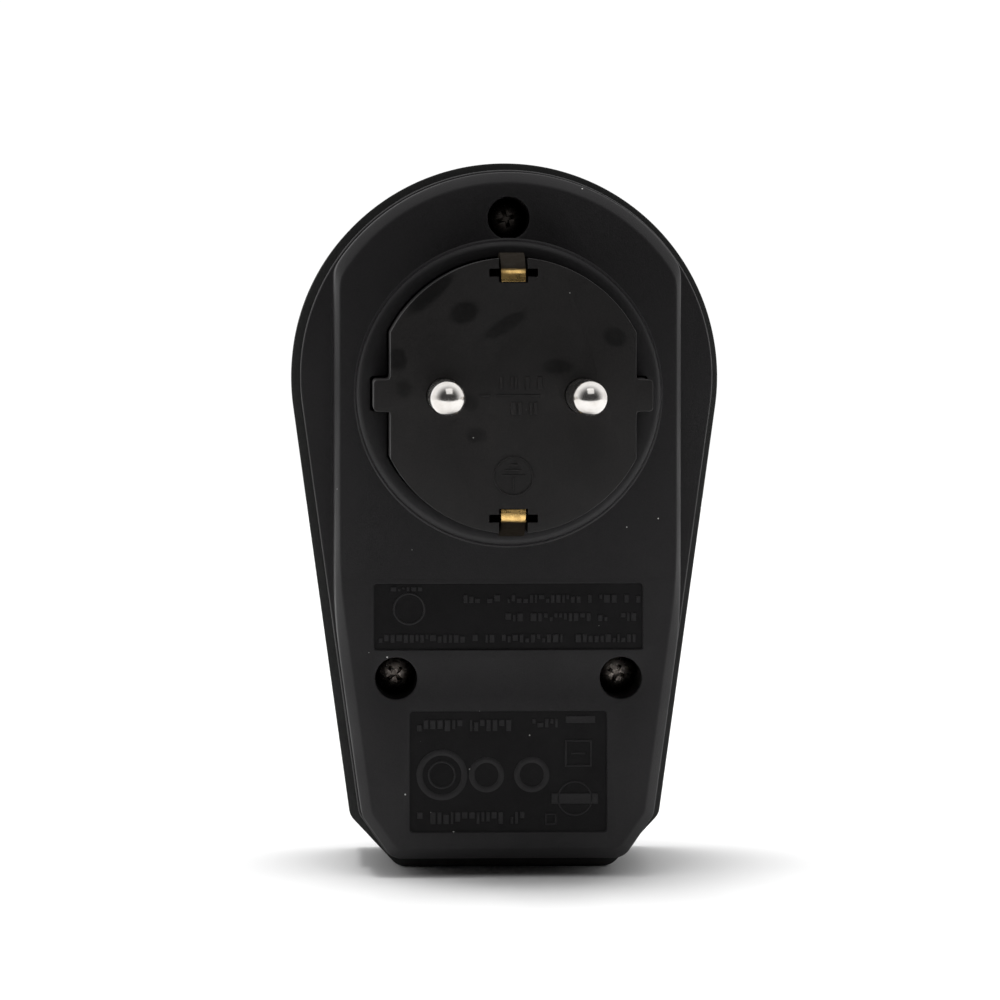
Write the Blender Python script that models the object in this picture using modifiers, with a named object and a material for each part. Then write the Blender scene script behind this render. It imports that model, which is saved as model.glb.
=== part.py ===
"""Round-headed smart plug: two-pin plug with side earth contacts at the back, socket in front.

Metres, +Z up. The origin is the centre of the plug's face, between the pins. The pins point
to -Y, the socket opens to +Y, the round head is up and the narrow foot is down.
"""

import math

import bmesh
import bpy
from mathutils import Vector

MM = 0.001
GAP = 0.3 * MM  # air between neighbouring pieces
MERGE = 0.001 * MM
ROUND = 40  # sides of a large round piece
FINE_ROUND = 20  # sides of a small round piece
ARC_STEPS = 14  # steps of a quarter of the head
FILLET_STEPS = 3

# Plug side
PIN_RADIUS = 2.4 * MM
PIN_LENGTH = 19.0 * MM
PIN_SPACING = 19.0 * MM
PIN_HEAD_RADIUS = 3.4 * MM
PIN_HEAD_THICKNESS = 0.9 * MM
BOSS_RADIUS = 19.0 * MM
BOSS_HEIGHT = 17.0 * MM  # from the raised back face of the housing
BOSS_FLAT_CUT = 2.1 * MM  # from the round to the flat on each side
BOSS_RIB_REACH = 2.3 * MM  # from a flat to the end of its guide rib
BOSS_RIB_WIDTH = 4.35 * MM
BOSS_RIB_DRAFT = 0.1 * MM
BOSS_RIB_CORNER = 0.5 * MM
BOSS_FACE = 3.0 * MM
BOSS_WALL = 4.6 * MM  # from the cavity to the outside, with the earth slots in it
BOSS_FLANGE = 2.0 * MM
BOSS_FLANGE_LIP = 1.0 * MM
PIN_PILLAR_RADIUS = 4.4 * MM
PIN_PILLAR_LENGTH = 10.7 * MM

# Earth straps
STRAP_WIDTH = 3.4 * MM
STRAP_THICKNESS = 0.7 * MM
STRAP_TIP_SINK = 0.6 * MM  # the folded tip lies this far behind the plug's face
STRAP_TIP_INSET = 3.15 * MM  # from the round of the plug body in to the folded tip
STRAP_TIP_HEIGHT = 1.35 * MM
STRAP_ENTRY_INSET = 1.0 * MM  # the same, where the strip enters the housing
STRAP_BULGE = 0.8 * MM  # how far its middle line swells past the plug body
STRAP_JOG = 2.0 * MM
STRAP_BUMP = 1.9 * MM
EARTH_SLOT_WIDTH = 6.6 * MM
EARTH_SLOT_INSET = (2.6 * MM, 1.6 * MM)  # its two edges, from the round of the plug body
EARTH_SLOT_DEPTH = 6.0 * MM
BRIDGE_THICKNESS = 0.8 * MM

# Housing
WALL = 2.0 * MM
HEAD_CENTRE_Z = 2.0 * MM
HEAD_MARGIN = 4.6 * MM  # from the top screw post to the outside of the front shell
SIDE_TAPER = math.radians(7.8)
REAR_STEP_IN = 1.3 * MM  # how much smaller the rear shell is than the front one
REAR_HEAD_RISE = 0.2 * MM
REAR_FOOT_RISE = 2.1 * MM
FRONT_CLIP = (6.9 * MM, 7.4 * MM)  # cut of the foot's corners: across, up
REAR_CLIP = (4.4 * MM, 6.3 * MM)
CORNER_RADIUS = 2.5 * MM
PLATEAU_RISE = 6.5 * MM  # from the wings to the raised back face
PLATEAU_MARGIN = 4.8 * MM  # from the round of the plug body to the side of the raised back
PLATEAU_EDGE = (1.9 * MM, 0.45 * MM, 1.6 * MM)  # chamfer: inset at the top and at its foot, depth
WING_DRAFT = 1.1 * MM
WING_LEDGE = 0.25 * MM  # from the foot of the raised back to the edge of the rear shell
REAR_RIM = 7.5 * MM  # from the wings to the parting plane
COLLAR_MARGIN = 2.55 * MM
COLLAR_RISE = 1.5 * MM
FRONT_EDGE = (0.8 * MM, 2.6 * MM)  # rounding of the front rim: first and last inset
FRONT_EDGE_DEPTH = (2.6 * MM, 0.8 * MM)

# Screws
SCREW_RADIUS = 1.5 * MM
SCREW_HEAD_RADIUS = 2.6 * MM
SCREW_HEAD_HEIGHT = 2.2 * MM
SCREW_LENGTH = 14.0 * MM
WELL_RADIUS = 2.95 * MM
WELL_WALL = 1.2 * MM
WELL_SEAT = 1.7 * MM
POST_RADIUS = 3.4 * MM
POST_HOLE_DEPTH = 16.0 * MM
LOWER_POST_X = 15.85 * MM
LOWER_POST_DROP = 16.7 * MM  # below the board's top edge

# Recessed panels on the back
UPPER_PANEL = (37.9 * MM, 9.3 * MM)
UPPER_PANEL_DROP = 8.0 * MM  # centre below the board's top edge
LOWER_PANEL_WIDTH = 27.8 * MM
PANEL_TO_WELL = 4.7 * MM
PANEL_TO_FOOT = 4.3 * MM
PANEL_DEPTH = 0.35 * MM

# Socket side
RECESS_RADIUS = 19.5 * MM
RECESS_DEPTH = 17.5 * MM
CUP_WALL = 1.4 * MM
CUP_FLOOR = 2.0 * MM
PIN_HOLE_RADIUS = 2.9 * MM
GUIDE_SIZE = (2.4 * MM, 2.6 * MM)  # reach into the recess, height
GUIDE_GAP = 5.2 * MM  # between the two guides of a side
SHUTTER_THICKNESS = 2.0 * MM
SHUTTER_EDGE = 2.1 * MM
SHUTTER_TURN = math.radians(26.0)
PIVOT_RADIUS = 1.5 * MM
PIVOT_SINK = 5.0 * MM
SPRING_RADIUS = 3.4 * MM
SPRING_WIRE = 0.3 * MM
SPRING_TURNS = 2.5
SPRING_POCKET_DEPTH = 2.5 * MM
CARRIER_DEPTH = 14.3 * MM
CARRIER_HALF_HEIGHT = 8.0 * MM
CARRIER_PLATE = 2.0 * MM
CONTACT_WIDTH = 8.0 * MM
CONTACT_HEIGHT = 6.0 * MM
CONTACT_THICKNESS = 0.8 * MM
CONTACT_WALL = 2.0 * MM

# Board and what is on it
BOARD_LENGTH = 35.0 * MM
BOARD_THICKNESS = 1.6 * MM
BOARD_TO_CUP = 2.6 * MM
BOARD_EDGE = 1.2 * MM  # air between the board and the front shell
FOOT_MARGIN = 9.9 * MM  # from the board's lower edge to the foot
REAR_AIR = 3.0 * MM
BOARD_SCREW_X = 19.0 * MM
BOARD_SCREW_DROP = 3.5 * MM
BOARD_POST_RADIUS = 2.2 * MM
BOARD_SCREW_RADIUS = 0.9 * MM
BOARD_SCREW_HEAD = (1.8 * MM, 1.2 * MM)
BOARD_SCREW_LENGTH = 6.0 * MM  # past the board
LEAD_RADIUS = 1.1 * MM
LEAD_DROP = 1.8 * MM
RELAY = (19.2 * MM, 15.4 * MM, 15.5 * MM)
FILM_CAPACITOR = (18.0 * MM, 13.0 * MM, 8.4 * MM)
RECTIFIER = (7.0 * MM, 3.0 * MM, 5.0 * MM)
CHOKE = (3.4 * MM, 8.0 * MM)
VARISTOR = (4.5 * MM, 4.0 * MM)
FUSE = (2.0 * MM, 9.0 * MM)
TRANSFORMER = (13.0 * MM, 11.0 * MM, 11.0 * MM)
BULK_CAPACITOR = (3.9 * MM, 12.0 * MM)
RADIO_BOARD = (11.0 * MM, 0.8 * MM, 11.0 * MM)
RADIO_CAN = (8.0 * MM, 1.8 * MM, 7.0 * MM)
CHIP = (7.0 * MM, 1.2 * MM, 7.0 * MM)
ROW_GAP = 0.6 * MM
RELAY_DROP = 3.5 * MM
ANTENNA_WIRE = 0.45 * MM

# Button and light on the front
BUTTON_RADIUS = 6.0 * MM
BUTTON_PROUD = 1.0 * MM
BUTTON_TRAVEL = 0.8 * MM  # pressed in until the plunger nearly reaches the end of its bore
BUTTON_LIP = 1.2 * MM
BUTTON_LIP_THICKNESS = 1.4 * MM
BUTTON_DROP = 13.0 * MM
STEM_RADIUS = 2.2 * MM
STEM_LENGTH = 3.6 * MM
SWITCH_BODY = (6.0 * MM, 3.5 * MM, 6.0 * MM)
PLUNGER_RADIUS = 1.7 * MM
PLUNGER_SINK = 1.0 * MM
PLUNGER_BORE = PLUNGER_SINK + BUTTON_TRAVEL + GAP
LIGHT_RADIUS = 1.5 * MM
LIGHT_LIP = 1.0 * MM
LIGHT_PROUD = 0.1 * MM
LED_HEIGHT = 4.6 * MM
LIGHT_DROP = 26.0 * MM

# Planes along Y that follow from the sizes above
BACK_Y = BOSS_HEIGHT
BACK_INNER_Y = BACK_Y + WALL
WING_Y = BACK_Y + PLATEAU_RISE
PARTING_Y = WING_Y + REAR_RIM
FLANGE_Y = BACK_INNER_Y + GAP
CARRIER_Y = FLANGE_Y + BOSS_FLANGE + GAP
CARRIER_END_Y = CARRIER_Y + CARRIER_DEPTH
SHUTTER_Y = CARRIER_END_Y + GAP
CUP_Y = SHUTTER_Y + SHUTTER_THICKNESS + GAP
RECESS_FLOOR_Y = CUP_Y + CUP_FLOOR
FRONT_Y = RECESS_FLOOR_Y + RECESS_DEPTH
FRONT_INNER_Y = FRONT_Y - WALL
BOARD_Y = BACK_INNER_Y + REAR_AIR + RELAY[1] + GAP
BOARD_FRONT_Y = BOARD_Y + BOARD_THICKNESS
PILLAR_END_Y = BOSS_FACE + PIN_PILLAR_LENGTH

# Places in X and Z
PIN_X = PIN_SPACING / 2
BOSS_FLAT_X = BOSS_RADIUS - BOSS_FLAT_CUT
BOSS_RIB_X = BOSS_FLAT_X + BOSS_RIB_REACH
BOSS_CAVITY_RADIUS = BOSS_RADIUS - BOSS_WALL
BOSS_FLANGE_RADIUS = BOSS_RADIUS + BOSS_FLANGE_LIP
PLATEAU_HALF_WIDTH = BOSS_RADIUS + PLATEAU_MARGIN
STRAP_TIP_Z = BOSS_RADIUS - STRAP_TIP_INSET
STRAP_PLUG_Z = BOSS_RADIUS - STRAP_ENTRY_INSET
CUP_RADIUS = RECESS_RADIUS + CUP_WALL
TOP_POST_Z = GAP + max(CUP_RADIUS + POST_RADIUS, BOSS_FLANGE_RADIUS + WELL_RADIUS + WELL_WALL)
HEAD_RADIUS = TOP_POST_Z + POST_RADIUS + HEAD_MARGIN - HEAD_CENTRE_Z
BOARD_TOP_Z = -CUP_RADIUS - BOARD_TO_CUP
BOARD_FOOT_Z = BOARD_TOP_Z - BOARD_LENGTH
FOOT_Z = BOARD_FOOT_Z - FOOT_MARGIN
REAR_FOOT_Z = FOOT_Z + REAR_FOOT_RISE
REAR_HEAD_RADIUS = HEAD_RADIUS - REAR_STEP_IN
REAR_HEAD_Z = HEAD_CENTRE_Z + REAR_HEAD_RISE
LOWER_POST_Z = BOARD_TOP_Z - LOWER_POST_DROP
POSTS = ((0.0, TOP_POST_Z), (-LOWER_POST_X, LOWER_POST_Z), (LOWER_POST_X, LOWER_POST_Z))
BOARD_SCREW_Z = BOARD_TOP_Z - BOARD_SCREW_DROP
BOARD_SCREWS = ((-BOARD_SCREW_X, BOARD_SCREW_Z), (BOARD_SCREW_X, BOARD_SCREW_Z))
BUTTON_Z = BOARD_TOP_Z - BUTTON_DROP
LIGHT_Z = BOARD_TOP_Z - LIGHT_DROP
COLLAR_RADIUS = BOSS_RADIUS + COLLAR_MARGIN
SHUTTER_RADIUS = PIN_X + PIN_HOLE_RADIUS + SHUTTER_EDGE

ALONG_Y = (math.radians(90.0), 0.0, 0.0)  # local Z points to -Y
PLANES = {
    "XZ": ALONG_Y,
    "YZ": (math.radians(90.0), 0.0, math.radians(90.0)),
    "XY": (0.0, 0.0, 0.0),
}

# name: (colour, roughness, metallic)
FINISHES = {
    "shell_black": ((0.021, 0.020, 0.023), 0.55, 0.0),
    "rim_black": ((0.014, 0.015, 0.014), 0.6, 0.0),
    "boss_black": ((0.019, 0.017, 0.016), 0.5, 0.0),
    "cup_black": ((0.020, 0.020, 0.021), 0.45, 0.0),
    "nickel": ((0.72, 0.69, 0.66), 0.18, 1.0),
    "brass": ((0.72, 0.50, 0.20), 0.3, 1.0),
    "blackened_steel": ((0.06, 0.055, 0.05), 0.35, 1.0),
    "spring_steel": ((0.55, 0.55, 0.56), 0.3, 1.0),
    "carrier_grey": ((0.62, 0.61, 0.57), 0.5, 0.0),
    "lead_brown": ((0.16, 0.07, 0.03), 0.45, 0.0),
    "lead_blue": ((0.05, 0.15, 0.45), 0.45, 0.0),
    "board_green": ((0.03, 0.16, 0.07), 0.4, 0.0),
    "relay_black": ((0.03, 0.03, 0.035), 0.35, 0.0),
    "capacitor_yellow": ((0.75, 0.55, 0.08), 0.35, 0.0),
    "varistor_blue": ((0.04, 0.12, 0.42), 0.4, 0.0),
    "fuse_ceramic": ((0.75, 0.72, 0.66), 0.4, 0.0),
    "ferrite": ((0.05, 0.05, 0.055), 0.5, 0.0),
    "bobbin_yellow": ((0.80, 0.68, 0.25), 0.45, 0.0),
    "can_sleeve": ((0.04, 0.05, 0.09), 0.3, 0.0),
    "tinned": ((0.68, 0.68, 0.67), 0.3, 1.0),
    "chip_black": ((0.025, 0.025, 0.028), 0.5, 0.0),
    "clear_plastic": ((0.82, 0.85, 0.86), 0.1, 0.0),
    "button_black": ((0.025, 0.025, 0.027), 0.35, 0.0),
}


# ---------------------------------------------------------------- scene and materials
def clear_scene():
    for obj in list(bpy.data.objects):
        bpy.data.objects.remove(obj)


def new_collection(name):
    collection = bpy.data.collections.new(name)
    bpy.context.scene.collection.children.link(collection)
    return collection


def new_material(name):
    colour, roughness, metallic = FINISHES[name]
    material = bpy.data.materials.new(name)
    material.use_nodes = True
    shader = material.node_tree.nodes["Principled BSDF"]
    shader.inputs["Base Color"].default_value = (*colour, 1.0)
    shader.inputs["Roughness"].default_value = roughness
    shader.inputs["Metallic"].default_value = metallic
    return material


clear_scene()
PARTS = new_collection("smart_plug")
TOOLS = new_collection("smart_plug_tools")


def place(name, data, location=(0.0, 0.0, 0.0), rotation=(0.0, 0.0, 0.0)):
    obj = bpy.data.objects.new(name, data)
    obj.location = location
    obj.rotation_euler = rotation
    PARTS.objects.link(obj)
    return obj


def place_bmesh(name, bm, location=(0.0, 0.0, 0.0), rotation=(0.0, 0.0, 0.0)):
    mesh = bpy.data.meshes.new(name)
    bm.to_mesh(mesh)
    bm.free()
    return place(name, mesh, location, rotation)


def finish(obj, finish_name, smooth_angle=35.0):
    obj.data.materials.clear()
    obj.data.materials.append(new_material(finish_name))
    obj.data.shade_smooth()
    obj.data.set_sharp_from_angle(angle=math.radians(smooth_angle))
    return obj


def combine(target, operation, tools):
    """Boolean the target with each tool in turn; the tools stay as hidden guides."""
    for tool in tools:
        PARTS.objects.unlink(tool)
        TOOLS.objects.link(tool)
        tool.hide_render = True
        tool.display_type = "WIRE"
        boolean = target.modifiers.new(tool.name, "BOOLEAN")
        boolean.operation = operation
        boolean.solver = "EXACT"
        boolean.object = tool
    return target


def cut(target, *tools):
    return combine(target, "DIFFERENCE", tools)


def join(target, *tools):
    return combine(target, "UNION", tools)


def soften(obj, width, segments=2, angle=40.0):
    bevel = obj.modifiers.new("edge", "BEVEL")
    bevel.width = width
    bevel.segments = segments
    bevel.limit_method = "ANGLE"
    bevel.angle_limit = math.radians(angle)
    return obj


# ---------------------------------------------------------------- basic solids
def box(name, size, centre):
    bm = bmesh.new()
    bmesh.ops.create_cube(bm, size=1.0)
    bmesh.ops.scale(bm, vec=size, verts=bm.verts)
    return place_bmesh(name, bm, centre)


def box_between(name, low, high):
    size = [b - a for a, b in zip(low, high)]
    centre = [(a + b) / 2 for a, b in zip(low, high)]
    return box(name, size, centre)


def on_board(name, size, x, z_top, front=False):
    """A box that stands on the board's back, or on its front, hanging from z_top."""
    y_low = BOARD_FRONT_Y + GAP if front else BOARD_Y - GAP - size[1]
    centre = (x, y_low + size[1] / 2, z_top - size[2] / 2)
    return box(name, size, centre)


def cylinder(name, radius, y_start, y_end, x=0.0, z=0.0, sides=ROUND):
    bm = bmesh.new()
    length = y_end - y_start
    bmesh.ops.create_cone(
        bm, cap_ends=True, segments=sides, radius1=radius, radius2=radius, depth=length
    )
    return place_bmesh(name, bm, (x, (y_start + y_end) / 2, z), ALONG_Y)


def peg(name, radius, y_start, y_end, x=0.0, z=0.0):
    """A small cylinder along Y: a post, a bore or a pin."""
    return cylinder(name, radius, y_start, y_end, x, z, FINE_ROUND)


def turned(name, profile, location, rotation=ALONG_Y, sides=FINE_ROUND):
    """A profile of (radius, height) points, top first, spun about the local Z axis."""
    mesh = bpy.data.meshes.new(name)
    edges = [(i, i + 1) for i in range(len(profile) - 1)]
    mesh.from_pydata([(radius, 0.0, height) for radius, height in profile], edges, [])
    obj = place(name, mesh, location, rotation)
    screw = obj.modifiers.new("turn", "SCREW")
    screw.axis = "Z"
    screw.steps = sides
    screw.render_steps = sides
    screw.use_merge_vertices = True
    screw.merge_threshold = MERGE
    screw.use_smooth_shade = True
    return obj


def to_mesh(obj):
    """Replace a curve object by its welded mesh."""
    bpy.context.view_layer.update()
    evaluated = obj.evaluated_get(bpy.context.evaluated_depsgraph_get())
    mesh = bpy.data.meshes.new_from_object(evaluated)
    bm = bmesh.new()
    bm.from_mesh(mesh)
    bmesh.ops.remove_doubles(bm, verts=bm.verts, dist=MERGE)
    bm.to_mesh(mesh)
    bm.free()
    name = obj.name
    matrix = obj.matrix_world.copy()
    bpy.data.objects.remove(obj)
    solid = place(name, mesh)
    solid.matrix_world = matrix
    return solid


def plate(name, outline, plane, low, high):
    """A flat outline in the given plane, from low to high along the plane's normal."""
    curve = bpy.data.curves.new(name, "CURVE")
    curve.dimensions = "2D"
    curve.fill_mode = "BOTH"
    curve.extrude = (high - low) / 2
    spline = curve.splines.new("POLY")
    spline.points.add(len(outline) - 1)
    for point, (u, v) in zip(spline.points, outline):
        point.co = (u, v, 0.0, 1.0)
    spline.use_cyclic_u = True
    middle = (low + high) / 2
    location = {"XZ": (0.0, middle, 0.0), "YZ": (middle, 0.0, 0.0), "XY": (0.0, 0.0, middle)}
    return to_mesh(place(name, curve, location[plane], PLANES[plane]))


def wire(name, path, radius, resolution=2):
    curve = bpy.data.curves.new(name, "CURVE")
    curve.dimensions = "3D"
    curve.bevel_depth = radius
    curve.bevel_resolution = resolution
    curve.use_fill_caps = True
    spline = curve.splines.new("POLY")
    spline.points.add(len(path) - 1)
    for point, co in zip(spline.points, path):
        point.co = (*co, 1.0)
    return to_mesh(place(name, curve))


def loft(name, rings):
    """A closed skin through rings of equal point count; each ring is (y, outline)."""
    bm = bmesh.new()
    loops = [[bm.verts.new((x, y, z)) for x, z in outline] for y, outline in rings]
    for low, high in zip(loops, loops[1:]):
        for i, vert in enumerate(low):
            j = (i + 1) % len(low)
            bm.faces.new((vert, low[j], high[j], high[i]))
    bm.faces.new(loops[0])
    bm.faces.new(loops[-1])
    bmesh.ops.recalc_face_normals(bm, faces=bm.faces)
    return place_bmesh(name, bm)


# ---------------------------------------------------------------- outlines
def arc(centre, radius, start, end, steps):
    """Points from one angle to another, both included."""
    angles = [start + (end - start) * i / steps for i in range(steps + 1)]
    return [
        (centre[0] + radius * math.cos(angle), centre[1] + radius * math.sin(angle))
        for angle in angles
    ]


def fillet(before, corner, after, radius, steps=FILLET_STEPS):
    """The arc that rounds a corner between two straight runs."""
    corner = Vector(corner)
    inward = (Vector(before) - corner).normalized()
    outward = (Vector(after) - corner).normalized()
    half = inward.angle(outward) / 2
    centre = corner + (inward + outward).normalized() * (radius / math.sin(half))
    first = corner + inward * (radius / math.tan(half)) - centre
    last = corner + outward * (radius / math.tan(half)) - centre
    start = math.atan2(first.y, first.x)
    sweep = math.atan2(first.x * last.y - first.y * last.x, first.dot(last))
    return arc(centre, radius, start, start + sweep, steps)


def meet(line_a, line_b):
    """Where two lines cross; a line is (unit normal, distance from the origin)."""
    (ax, az), a = line_a
    (bx, bz), b = line_b
    det = ax * bz - az * bx
    return ((a * bz - b * az) / det, (ax * b - bx * a) / det)


def mirrored(right):
    """Close a right half, top first, with its mirror image."""
    left = [(-x, z) for x, z in reversed(right) if x > MERGE]
    return right + left


class Body:
    """Plan of a shell seen along Y: round head, tapering sides and clipped foot corners."""

    def __init__(self, head_radius, head_z, foot_z, clip):
        self.head_radius = head_radius
        self.head_z = head_z
        self.foot_z = foot_z
        side = (math.cos(SIDE_TAPER), -math.sin(SIDE_TAPER))
        self.side = (side, head_radius + side[1] * head_z)
        self.foot = ((0.0, -1.0), -foot_z)
        clip_top = meet(self.side, ((0.0, -1.0), -foot_z - clip[1]))
        clip_foot = (clip_top[0] - clip[0], foot_z)
        run = Vector(clip_foot) - Vector(clip_top)
        normal = Vector((-run.y, run.x)).normalized()
        self.clip = ((normal.x, normal.y), normal.dot(Vector(clip_top)))

    def lower_right(self, inset):
        """The side line and the two rounded foot corners of the outline moved inwards."""
        side, clip, foot = [(n, d - inset) for n, d in (self.side, self.clip, self.foot)]
        clip_top = meet(side, clip)
        clip_foot = meet(clip, foot)
        return side, clip_top, clip_foot

    def half_width(self, z, inset=0.0):
        (nx, nz), distance = self.side
        return (distance - inset - nz * z) / nx

    def outline(self, inset=0.0):
        radius = self.head_radius - inset
        right = arc((0.0, self.head_z), radius, math.pi / 2, -SIDE_TAPER, ARC_STEPS)
        _, clip_top, clip_foot = self.lower_right(inset)
        right += fillet(right[-1], clip_top, clip_foot, CORNER_RADIUS)
        right += fillet(clip_top, clip_foot, (0.0, clip_foot[1]), CORNER_RADIUS)
        return mirrored(right)

    def plateau(self, half_width, inset):
        """The outline moved inwards and cut off at a half width, for the raised back."""
        radius = self.head_radius - inset
        turn = math.acos(half_width / radius)
        right = arc((0.0, self.head_z), radius, math.pi / 2, turn, ARC_STEPS)
        side, clip_top, clip_foot = self.lower_right(inset)
        right.append(meet(((1.0, 0.0), half_width), side))
        right += fillet(right[-1], clip_top, clip_foot, CORNER_RADIUS)
        right += fillet(clip_top, clip_foot, (0.0, clip_foot[1]), CORNER_RADIUS)
        return mirrored(right)


FRONT = Body(HEAD_RADIUS, HEAD_CENTRE_Z, FOOT_Z, FRONT_CLIP)
REAR = Body(REAR_HEAD_RADIUS, REAR_HEAD_Z, REAR_FOOT_Z, REAR_CLIP)


def boss_outline(grow=0.0):
    """Plan of the plug body: a circle with side flats and a guide rib on each flat."""
    radius = BOSS_RADIUS + grow
    flat_x = BOSS_FLAT_X + grow
    rib_x = BOSS_RIB_X + grow
    rib_z = BOSS_RIB_WIDTH / 2 + grow
    turn = math.acos(flat_x / radius)
    upper = arc((0.0, 0.0), radius, math.pi / 2, turn, ARC_STEPS)
    upper += [(flat_x, rib_z + BOSS_RIB_DRAFT), (rib_x - BOSS_RIB_CORNER, rib_z)]
    upper.append((rib_x, rib_z - BOSS_RIB_CORNER))
    lower = [(x, -z) for x, z in reversed(upper)]
    return mirrored(upper + lower)


def ribbon(path, thickness):
    """Outline of a bent strip: its middle line moved to both sides."""
    path = [Vector(point) for point in path]
    sides = ([], [])
    for i, point in enumerate(path):
        ahead = (path[min(i + 1, len(path) - 1)] - point).normalized()
        behind = (point - path[max(i - 1, 0)]).normalized()
        along = (ahead + behind).normalized()
        normal = Vector((-along.y, along.x))
        run = ahead if i < len(path) - 1 else behind
        reach = thickness / 2 / normal.dot(Vector((-run.y, run.x)))
        sides[0].append(tuple(point + normal * reach))
        sides[1].append(tuple(point - normal * reach))
    return sides[0] + sides[1][::-1]


def smooth_path(points, steps=5):
    """Catmull-Rom curve through the points."""
    points = [Vector(point) for point in points]
    padded = [2 * points[0] - points[1]] + points + [2 * points[-1] - points[-2]]
    path = []
    for a, b, c, d in zip(padded, padded[1:], padded[2:], padded[3:]):
        for i in range(steps):
            t = i / steps
            path.append(
                0.5 * (2 * b + (c - a) * t + (2 * a - 5 * b + 4 * c - d) * t**2
                       + (3 * b - a - 3 * c + d) * t**3)
            )
    return path + [points[-1]]


# ---------------------------------------------------------------- housing
def build_rear_shell():
    overlap = WALL / 2
    shell = plate("rear_shell", REAR.outline(), "XZ", WING_Y, PARTING_Y - GAP)
    foot_width = PLATEAU_HALF_WIDTH + WING_DRAFT
    top_inset, edge_inset, edge_depth = PLATEAU_EDGE
    raised = loft(
        "rear_shell_plateau",
        (
            (BACK_Y, REAR.plateau(PLATEAU_HALF_WIDTH, top_inset)),
            (BACK_Y + edge_depth, REAR.plateau(PLATEAU_HALF_WIDTH + WING_DRAFT / 2, edge_inset)),
            (WING_Y, REAR.plateau(foot_width, WING_LEDGE)),
            (WING_Y + overlap, REAR.plateau(foot_width, WING_LEDGE * 2)),
        ),
    )
    collar = cylinder("rear_shell_collar", COLLAR_RADIUS, BACK_Y - COLLAR_RISE, BACK_INNER_Y - overlap)
    soften(collar, COLLAR_RISE / 2)
    join(shell, raised, collar)

    inner_width = foot_width - WALL
    hollow = loft(
        "rear_shell_hollow",
        (
            (BACK_INNER_Y, REAR.plateau(PLATEAU_HALF_WIDTH - WALL, top_inset + WALL)),
            (WING_Y + WALL + overlap, REAR.plateau(inner_width, WALL + WING_LEDGE)),
        ),
    )
    rim_hollow = plate("rear_shell_rim", REAR.outline(WALL), "XZ", WING_Y + WALL, PARTING_Y + WALL)
    cut(shell, hollow, rim_hollow)
    for index, (x, z) in enumerate(POSTS):
        well_start = BACK_INNER_Y - overlap
        join(shell, peg(f"well_{index}", WELL_RADIUS + WELL_WALL, well_start, PARTING_Y - GAP, x, z))
    seat_y = PARTING_Y - GAP - WELL_SEAT
    for index, (x, z) in enumerate(POSTS):
        bore = peg(f"well_bore_{index}", WELL_RADIUS, BACK_Y - WALL, seat_y, x, z)
        hole = peg(f"well_hole_{index}", SCREW_RADIUS + GAP, BACK_Y, PARTING_Y + WALL, x, z)
        cut(shell, bore, hole)
    opening = plate("boss_opening", boss_outline(GAP), "XZ", 0.0, BACK_INNER_Y + overlap)
    cut(shell, opening)
    for name, low, high in panels():
        corner = (low[0], BACK_Y - WALL, low[1])
        cut(shell, box_between(name, corner, (high[0], BACK_Y + PANEL_DEPTH, high[1])))
    finish(shell, "shell_black")


def panels():
    """The two recessed panels on the back, as (name, low corner, high corner) in X and Z."""
    upper_z = BOARD_TOP_Z - UPPER_PANEL_DROP
    half_width, half_height = UPPER_PANEL[0] / 2, UPPER_PANEL[1] / 2
    upper = ("upper_panel", (-half_width, upper_z - half_height), (half_width, upper_z + half_height))
    lower_half = LOWER_PANEL_WIDTH / 2
    lower_top = LOWER_POST_Z - PANEL_TO_WELL
    lower = ("lower_panel", (-lower_half, REAR_FOOT_Z + PANEL_TO_FOOT), (lower_half, lower_top))
    return upper, lower


def build_front_shell():
    first, last = FRONT_EDGE
    shell = loft(
        "front_shell",
        (
            (PARTING_Y, FRONT.outline()),
            (FRONT_Y - FRONT_EDGE_DEPTH[0], FRONT.outline()),
            (FRONT_Y - FRONT_EDGE_DEPTH[1], FRONT.outline(first)),
            (FRONT_Y, FRONT.outline(last)),
        ),
    )
    cut(shell, plate("front_hollow", FRONT.outline(WALL + GAP), "XZ", 0.0, FRONT_INNER_Y))
    post_end = FRONT_INNER_Y + WALL / 2
    hole_end = PARTING_Y + POST_HOLE_DEPTH
    for index, (x, z) in enumerate(POSTS):
        join(shell, peg(f"post_{index}", POST_RADIUS, PARTING_Y, post_end, x, z))
        cut(shell, peg(f"post_hole_{index}", SCREW_RADIUS + GAP, 0.0, hole_end, x, z))
    hole_end = BOARD_FRONT_Y + BOARD_SCREW_LENGTH + GAP * 4
    for index, (x, z) in enumerate(BOARD_SCREWS):
        start = BOARD_FRONT_Y + GAP
        join(shell, peg(f"board_post_{index}", BOARD_POST_RADIUS, start, post_end, x, z))
        cut(shell, peg(f"board_hole_{index}", BOARD_SCREW_RADIUS + GAP, 0.0, hole_end, x, z))
    holes = (
        ("cup_hole", CUP_RADIUS + GAP, 0.0, ROUND),
        ("button_hole", BUTTON_RADIUS + GAP, BUTTON_Z, FINE_ROUND * 2),
        ("light_hole", LIGHT_RADIUS + GAP, LIGHT_Z, FINE_ROUND),
    )
    for name, radius, z, sides in holes:
        cut(shell, cylinder(name, radius, FRONT_INNER_Y - WALL, FRONT_Y + WALL, 0.0, z, sides))
    finish(shell, "rim_black")


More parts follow.
